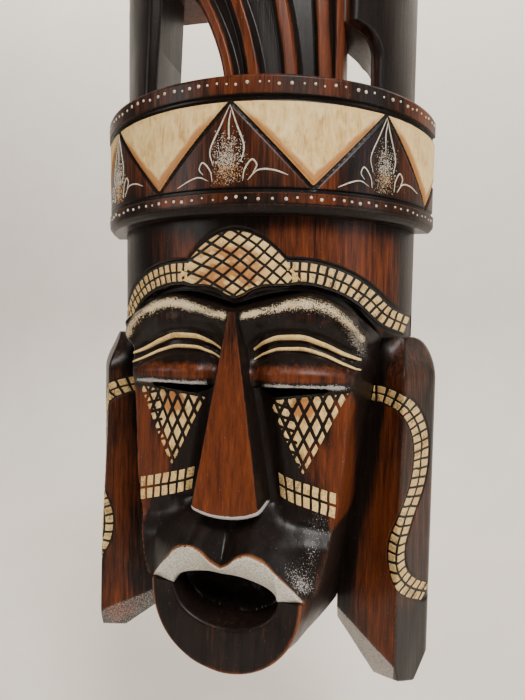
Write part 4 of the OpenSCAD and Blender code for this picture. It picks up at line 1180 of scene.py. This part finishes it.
def nose():
    """A long wedge with a flat front and softened edges."""
    top, end = NOSE_HIGH[2], NOSE_LOW[2]
    seat = -NOSE_HIGH[1]
    tip_depth = -NOSE_LOW[1]
    rows, half_cols = 150, 34
    t = np.vstack([down(rows - 40, 0, 0.94), down(41, 0.94, 1)[1:]])
    u = np.sin(across(2 * half_cols + 1, -math.pi / 2, math.pi / 2))
    foot_z = end + 4.6 * np.abs(u) ** 2.2
    z = mix(top, foot_z, t)
    drop = -z
    base_half = np.interp(drop, [77, 168], [2.6, 18.0]) * np.ones_like(z)
    x = u * base_half
    front = np.interp(drop, [77, 168], [LOG_DEPTH + 4, tip_depth - 0.6]) * np.ones_like(z)
    flat = nose_half(drop)
    side_fall = clamp((np.abs(x) - flat) / (base_half - flat))
    under = clamp((foot_z + 4.6 - z) / 4.6)
    fall = np.hypot(side_fall, under ** 1.6)
    roundness = np.sqrt(clamp(1 - fall ** 2.4))
    depth = seat + 0.6 + (front - seat - 0.6) * roundness
    depth += 0.15 * wander(x, z, (6, 22), 121) * roundness
    edge = bump(np.abs(x), flat, 1.3)
    red = clamp(1.05 * (side_fall < 0.25) * (0.45 + 0.55 * ramp(drop, 84, 120)))
    obj = slab("nose_wedge", at_depth(x, z, depth), at_depth(x, z, seat + 0 * z),
               {"red": red * (1 - 0.5 * under),
                "wear": clamp(0.25 * edge + 0.35 * bump(under, 0.25, 0.2) * (side_fall < 0.4)),
                "silver_and_sheen": 1.15 * ramp(under, 0.02, 0.2) * (1 - ramp(under, 0.75, 0.95)) * (side_fall < 0.9)})
    finish_piece(obj, WOOD, ["nose"])


def upper_lip():
    """A bevel between the sharp upper edge and the open mouth."""
    x = (MOUTH_HALF - 0.2) * np.sin(across(200, -math.pi / 2, math.pi / 2))
    top = lip_top_z(x) + 0.7
    low = np.minimum(hollow_top_z(x) - 0.35, top - 0.6)
    t = down(40)
    z = mix(top, low, t)
    x = np.broadcast_to(x, z.shape)
    inner = track(np.abs(x), [(0, 77), (14, 76), (26, 73.5), (MOUTH_HALF, 69.5)])
    depth = mix(lip_top_depth(x) + 0.5, inner, t ** 0.9) + 0.9 * np.sin(math.pi * t)
    depth -= 0.96 * (1 - ramp(t, 0, 0.10)) + 0.8 * ramp(t, 0.93, 1.0)
    depth += 0.2 * wander(x, z, 6, 131)
    x, z = mouth_place(x, z)
    obj = slab("upper_lip_bevel", at_depth(x, z, depth), at_depth(x, z, LIP_SEAT - 1 + 0 * z),
               {"wear": clamp(1.0 - t / 0.11)})
    finish_piece(obj, SPECKLE, ["upper_lip"])


def lower_lip():
    """A flat U with softened edges around the open mouth."""
    angle = across(220, math.pi, 2 * math.pi)
    t = down(36)
    inner_x, inner_z = HOLLOW_HALF * np.cos(angle), HOLLOW_FALL * np.sin(angle)
    outer_x, outer_z = MOUTH_HALF * np.cos(angle), (CHIN_DROP - MOUTH_DROP) * np.sin(angle)
    x = mix(inner_x, outer_x, t)
    z = mix(inner_z, outer_z, t) - MOUTH_DROP
    width = np.hypot(outer_x - inner_x, outer_z - inner_z)
    from_edge = np.minimum(t, 1 - t) * width
    depth = mix(73.5, LIP_DEPTH, ramp(-z, MOUTH_DROP, MOUTH_DROP + 26))
    depth = depth - 1.6 * edge_fall(from_edge / 1.8)
    depth += 0.18 * wander(x, z, 8, 141)
    outer_edge = bump((1 - t) * width, 0.8, 1.1)
    x, z = mouth_place(x, z)
    obj = slab("lower_lip_plate", at_depth(x, z, depth), at_depth(x, z, LIP_SEAT - 1 + 0 * z),
               {"red": clamp(0.22 + 0.5 * outer_edge),
                "wear": 0.6 * outer_edge + 0.12 * bump(t * width, 0.7, 0.8)})
    finish_piece(obj, WOOD, ["lower_lip"])


# ------------------------------------------------------------------ ears

RIBBON = [(63, -118), (73, -118.5), (84, -124), (91, -137), (93, -152), (91, -168), (85, -184), (81.5, -198),
          (83, -212), (90, -223), (99, -231)]
RIBBON_WIDTH = 10.8


def ear(side):
    """An ear: a broad inner face, a ridge, and an outer face that falls to the wall."""
    z = mix(-SIDE_DROP - 0.1, -ear_end(side)[0], down(240))
    inner, outer, ridge = ear_edges(z, side)
    x = mix(inner, outer, across(84))
    z = z + 0 * x
    depth, bevel = ear_depth(x, z, side)
    near = 1.6 - np.abs(outer - x)
    depth = depth - 1.6 * clamp(near / 1.6) ** 2
    middle, _ = route(RIBBON, 60)
    gap = line_gap(x, z, [(rx + ear_lean(-rz, side), rz) for rx, rz in middle])
    depth -= POCKET * (1 - ramp(gap, 4.2, 5.2))
    crest = bump(x, ridge, 1.5)
    drop = -z
    inner_face = 1 - ramp(x, ridge - 1, ridge + 1)
    red = inner_face * (0.34 + 0.45 * bump(x, ridge - 8, 7) + 0.3 * ramp(drop, 150, 190))
    # painted light and shade: the right ear's red-brown is raised and the left ear's lowered
    red = red + (1 - inner_face) * (0.5 if side > 0 else 0.3)
    red = red * (0.78 if side > 0 else 0.6)
    # painted shade: darker in the valley along the inner edge beside the face
    red = clamp(red - 0.5 * (1 - ramp(x - inner, 1, 12)) - 0.4 * ramp(drop, 225, 245) * (1 - inner_face))
    wear = clamp(0.5 * crest * ramp(drop, 110, 150) + 0.35 * (1 - ramp(outer - x, 0, 1.5)))
    # painted light and shade over the silver paint: the bevel's silver is stronger on the right ear than on
    # the left
    fields = {"red": red, "wear": wear, "silver_and_sheen": (0.72 if side > 0 else 0.42) * bevel}
    x, z, depth, fields = on_side(side, x, z, depth, fields)
    obj = slab(f"carved_ear_{WORDS[side]}", at_depth(x, z, depth), at_depth(x, z, 0), fields)
    finish_piece(obj, WOOD, [f"ear_{WORDS[side]}"])


def ear_ribbon(side):
    """The ladder ribbon that winds over the ear's ridge."""
    points = [(px + ear_lean(-pz, side), pz) for px, pz in RIBBON]
    x, z, s, t = strip(points, RIBBON_WIDTH, 330, 29)
    inner, outer, _ = ear_edges(z, side)
    x = np.clip(x, inner + 0.4, outer - 0.3)
    depth, _ = ear_depth(x, z, side)
    fields = ladder(s, t, RIBBON_WIDTH, 4.9, 150 + side)
    x, z, surface, fields = on_side(side, x, z, depth + 0.25, fields)
    name = f"ear_ribbon_{WORDS[side]}"
    inlay(f"{name}_inlay", x, z, surface, fields, name, proud=0.1)


# ------------------------------------------------------------------ crown

TRUNK_LEFT = -6.5
TRUNK_RIGHT = 48.0
TRUNK_SWEEP = 29.5
POST_LEFT_INNER = -50.0
POST_RIGHT_INNER = 61.0
CROWN_INNER = CROWN_RADIUS - CROWN_WALL


def crown_depth(x):
    return log_depth(x, CROWN_RADIUS)


def inner_depth(x):
    return np.maximum(log_depth(np.minimum(np.abs(x), CROWN_INNER), CROWN_INNER), 0)


def crown_piece(name, x, z, front, back, fields, replaced):
    front = np.maximum(front, back + 0.8)
    obj = slab(name, at_depth(x, z, front), at_depth(x, z, back), fields)
    finish_piece(obj, WOOD, [replaced])


def rounded(u, width, radius):
    """How far a surface falls near both ends of its width."""
    return radius * edge_fall(np.minimum(u, 1 - u) * width / radius)


def crown_trunk():
    """The fluted trunk; its left edge sweeps out as it rises."""
    t, u = down(130), across(230)
    left = TRUNK_LEFT - TRUNK_SWEEP * t ** 1.6
    x = mix(left, TRUNK_RIGHT, u)
    z = mix(BAND_HALF, CAP_FOOT, t) + 0 * u
    ridges = np.array([0.045, 0.27, 0.58, 0.86, 0.99])
    gap = np.min(np.abs(u[..., None] - ridges), -1)
    span = TRUNK_RIGHT - left
    channel = ramp(gap * span, 1.6, 5.5)
    shift = 0.3 * wander(u * 60, z, (7, 30), 161)
    front = crown_depth(x) - 4.2 * channel + shift - rounded(u, span, 2.4)
    red = clamp(0.85 - 1.7 * channel + 0.3 * wander(u * 60, z, (9, 26), 162))
    crown_piece("fluted_trunk", x, z, front, inner_depth(x), {"red": red, "wear": 0.25 * (1 - channel)},
                "crown_trunk")


def crown_post(side):
    """A post on the band's edge; the right one carries the top of its window."""
    t, u = down(110), across(80)
    z_line = mix(BAND_HALF, CAP_FOOT, t)
    outside = math.sqrt(CROWN_RADIUS ** 2 - SETBACK ** 2) - 0.4
    if side < 0:
        inner = POST_LEFT_INNER + 6 * t
        x = mix(-outside, inner, u)
    else:
        window_top = CAP_FOOT - 32
        bend = POST_RIGHT_INNER - TRUNK_RIGHT
        over = clamp((z_line - (window_top - bend)) / bend)
        inner = np.where(z_line > window_top, TRUNK_RIGHT,
                         POST_RIGHT_INNER - bend * (1 - np.sqrt(clamp(1 - over ** 2))))
        x = mix(inner, outside, u)
    z = z_line + 0 * u
    width = np.abs(x[:, -1:] - x[:, :1])
    front = crown_depth(x)
    end = u if side > 0 else 1 - u
    front = front - 6.0 * (1 - ramp(end * width, 0, 9)) ** 2
    front += 0.35 * wander(x, z, (8, 30), 171) * ramp(crown_depth(x), 1, 8)
    from_inside, from_outside = end * width, (1 - end) * width
    red = 0.02 + 0.35 * (1 - ramp(from_outside, 2, 7)) + 0.35 * (side > 0) * (1 - ramp(from_inside, 2, 8))
    fields = {"red": clamp(red), "wear": 0.3 * (1 - ramp(from_outside, 0.5, 2.5))}
    crown_piece(f"{WORDS[side]}_post", x, z, front, inner_depth(x), fields, f"crown_post_{WORDS[side]}")


def crown_cap():
    """The closed cap: a rounded top with a cut line near its foot."""
    outside = math.sqrt(CROWN_RADIUS ** 2 - SETBACK ** 2) - 0.3
    x = outside * np.sin(across(230, -math.pi / 2, math.pi / 2))
    height = CROWN_TOP - CAP_FOOT
    shoulder = CAP_FOOT + 0.35 * height
    top = shoulder + 0.65 * height * np.sqrt(clamp(1 - (x / (outside + 0.6)) ** 2))
    z = mix(top, CAP_FOOT, down(110))
    x = x + 0 * z
    from_top = top - z
    front = crown_depth(x) - 7 * edge_fall(from_top / 9)
    front = front - 1.3 * bump(z, CAP_FOOT + 6, 1.0) - 1.3 * bump(from_top, 13, 1.0)
    front += 0.35 * wander(x, z, (16, 30), 181)
    fade = ramp(crown_depth(x), 0.5, 7)
    front = mix(crown_depth(x), front, fade)
    dark = bump(z, CAP_FOOT + 6, 1.6) + bump(from_top, 13, 1.6)
    red = clamp(0.62 - dark + 0.25 * bump(x, 25, 30))
    fields = {"red": red, "wear": 0.35 * bump(from_top, 1.5, 1.5)}
    crown_piece("rounded_cap", x, z, front, 0 * z, fields, "crown_cap")


# ------------------------------------------------------------------ hanger and stage


def dress_cad_nodes():
    """The hidden dowels and the hanger keep their CAD shapes and get real finishes."""
    finishes = {"crown_dowels": DOWEL, "ear_dowels": DOWEL, "hanger_strap": STEEL,
                "hanger_screws": STEEL, "hanger_ring": STEEL}
    for name, material in finishes.items():
        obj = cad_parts[name]
        for mesh_slot in obj.material_slots:
            mesh_slot.material = material


def plain_surface(name, colour):
    n = Nodes(name)
    patch = n.noise(9, (1, 1, 1), 4, 0.6)
    low = tuple(0.96 * c for c in colour)
    n.join(n.colours(patch, (0.35, low), (0.65, colour)), n.shader.inputs["Base Color"])
    n.join(n.step(patch, 0.3, 0.7, 0.75, 0.85), n.shader.inputs["Roughness"])
    return n.material


def floor_and_sweep():
    """A pale floor that curves up behind the mask, well clear of it."""
    floor_z, wall_y, bend = -420.0, 900.0, 350.0
    arc = np.linspace(0, math.pi / 2, 24)
    y = np.concatenate([[-3000], wall_y - bend + bend * np.sin(arc), [wall_y]])
    z = np.concatenate([[floor_z], floor_z + bend * (1 - np.cos(arc)), [1800]])
    x = np.array([-2600.0, 2600.0])
    points = np.array([(px, py, pz) for py, pz in zip(y, z) for px in x])
    quads = [(2 * i, 2 * i + 1, 2 * i + 3, 2 * i + 2) for i in range(len(y) - 1)]
    obj = write_mesh("floor", points, quads, None, 60)
    obj.data.materials.append(plain_surface("pale_floor", (0.82, 0.76, 0.69)))


def area_light(name, place, aim, size, power, colour=(1, 1, 1)):
    data = bpy.data.lights.new(name, "AREA")
    data.shape = "RECTANGLE"
    data.size, data.size_y = size
    data.energy = power
    data.color = colour
    obj = bpy.data.objects.new(name, data)
    obj.location = place
    obj.rotation_euler = (Vector(aim) - Vector(place)).to_track_quat("-Z", "Y").to_euler()
    bpy.context.collection.objects.link(obj)


def lights():
    middle = (0, -0.03, -0.06)
    area_light("key", (0.55, -0.95, 1.0), middle, (0.5, 0.5), 25, (1.0, 0.985, 0.96))
    area_light("fill", (-1.1, -0.9, 0.35), middle, (0.6, 0.6), 6, (1.0, 0.98, 0.95))
    area_light("side", (1.1, -0.35, 0.05), middle, (0.3, 0.9), 3, (0.94, 0.97, 1.0))
    area_light("sweep", (0.0, 0.45, 1.45), (0, 1.45, 0.95), (2.6, 0.6), 55, (1.0, 0.96, 0.90))
    world = bpy.data.worlds.new("studio")
    world.use_nodes = True
    world.node_tree.nodes["Background"].inputs["Color"].default_value = (0.93, 0.92, 0.91, 1)
    world.node_tree.nodes["Background"].inputs["Strength"].default_value = 0.10
    bpy.context.scene.world = world


def camera():
    """Close in front of the mask, a little to its right and above, as a phone would be held."""
    yaw, pitch, roll = (math.radians(v) for v in (12.3, 3.6, 0.8))
    aim, distance = Vector((0.1, 0, -98.1)), 318.5
    back = Vector((math.sin(yaw) * math.cos(pitch), -math.cos(yaw) * math.cos(pitch), math.sin(pitch)))
    level = (-back).cross(Vector((0, 0, 1))).normalized()
    upright = level.cross(-back)
    right = math.cos(roll) * level + math.sin(roll) * upright
    up = math.cos(roll) * upright - math.sin(roll) * level
    data = bpy.data.cameras.new("camera")
    data.sensor_width = 36
    data.lens = 27.05143
    data.clip_start = 0.01
    obj = bpy.data.objects.new("camera", data)
    place = (aim + back * distance) * MM
    obj.matrix_world = Matrix.Translation(place) @ Matrix((right, up, back)).transposed().to_4x4()
    bpy.context.collection.objects.link(obj)
    bpy.context.scene.camera = obj


camera()
forehead()
forehead_crest()
for hand in (-1, 1):
    forehead_band(hand)
headband()
for count, middle_angle in enumerate(PANEL_ANGLES, 1):
    band_triangle(count, middle_angle)
band_dots()
for count, middle_angle in enumerate((-45, 0, 45), 1):
    band_flower(count, middle_angle)
flower_hearts()
face()
nose()
upper_lip()
lower_lip()
for hand in (-1, 1):
    lid_lines(hand)
    eye_lattice(hand)
    cheek_patch(hand)
    ear(hand)
    ear_ribbon(hand)
crown_trunk()
for hand in (-1, 1):
    crown_post(hand)
crown_cap()
dress_cad_nodes()
floor_and_sweep()
lights()
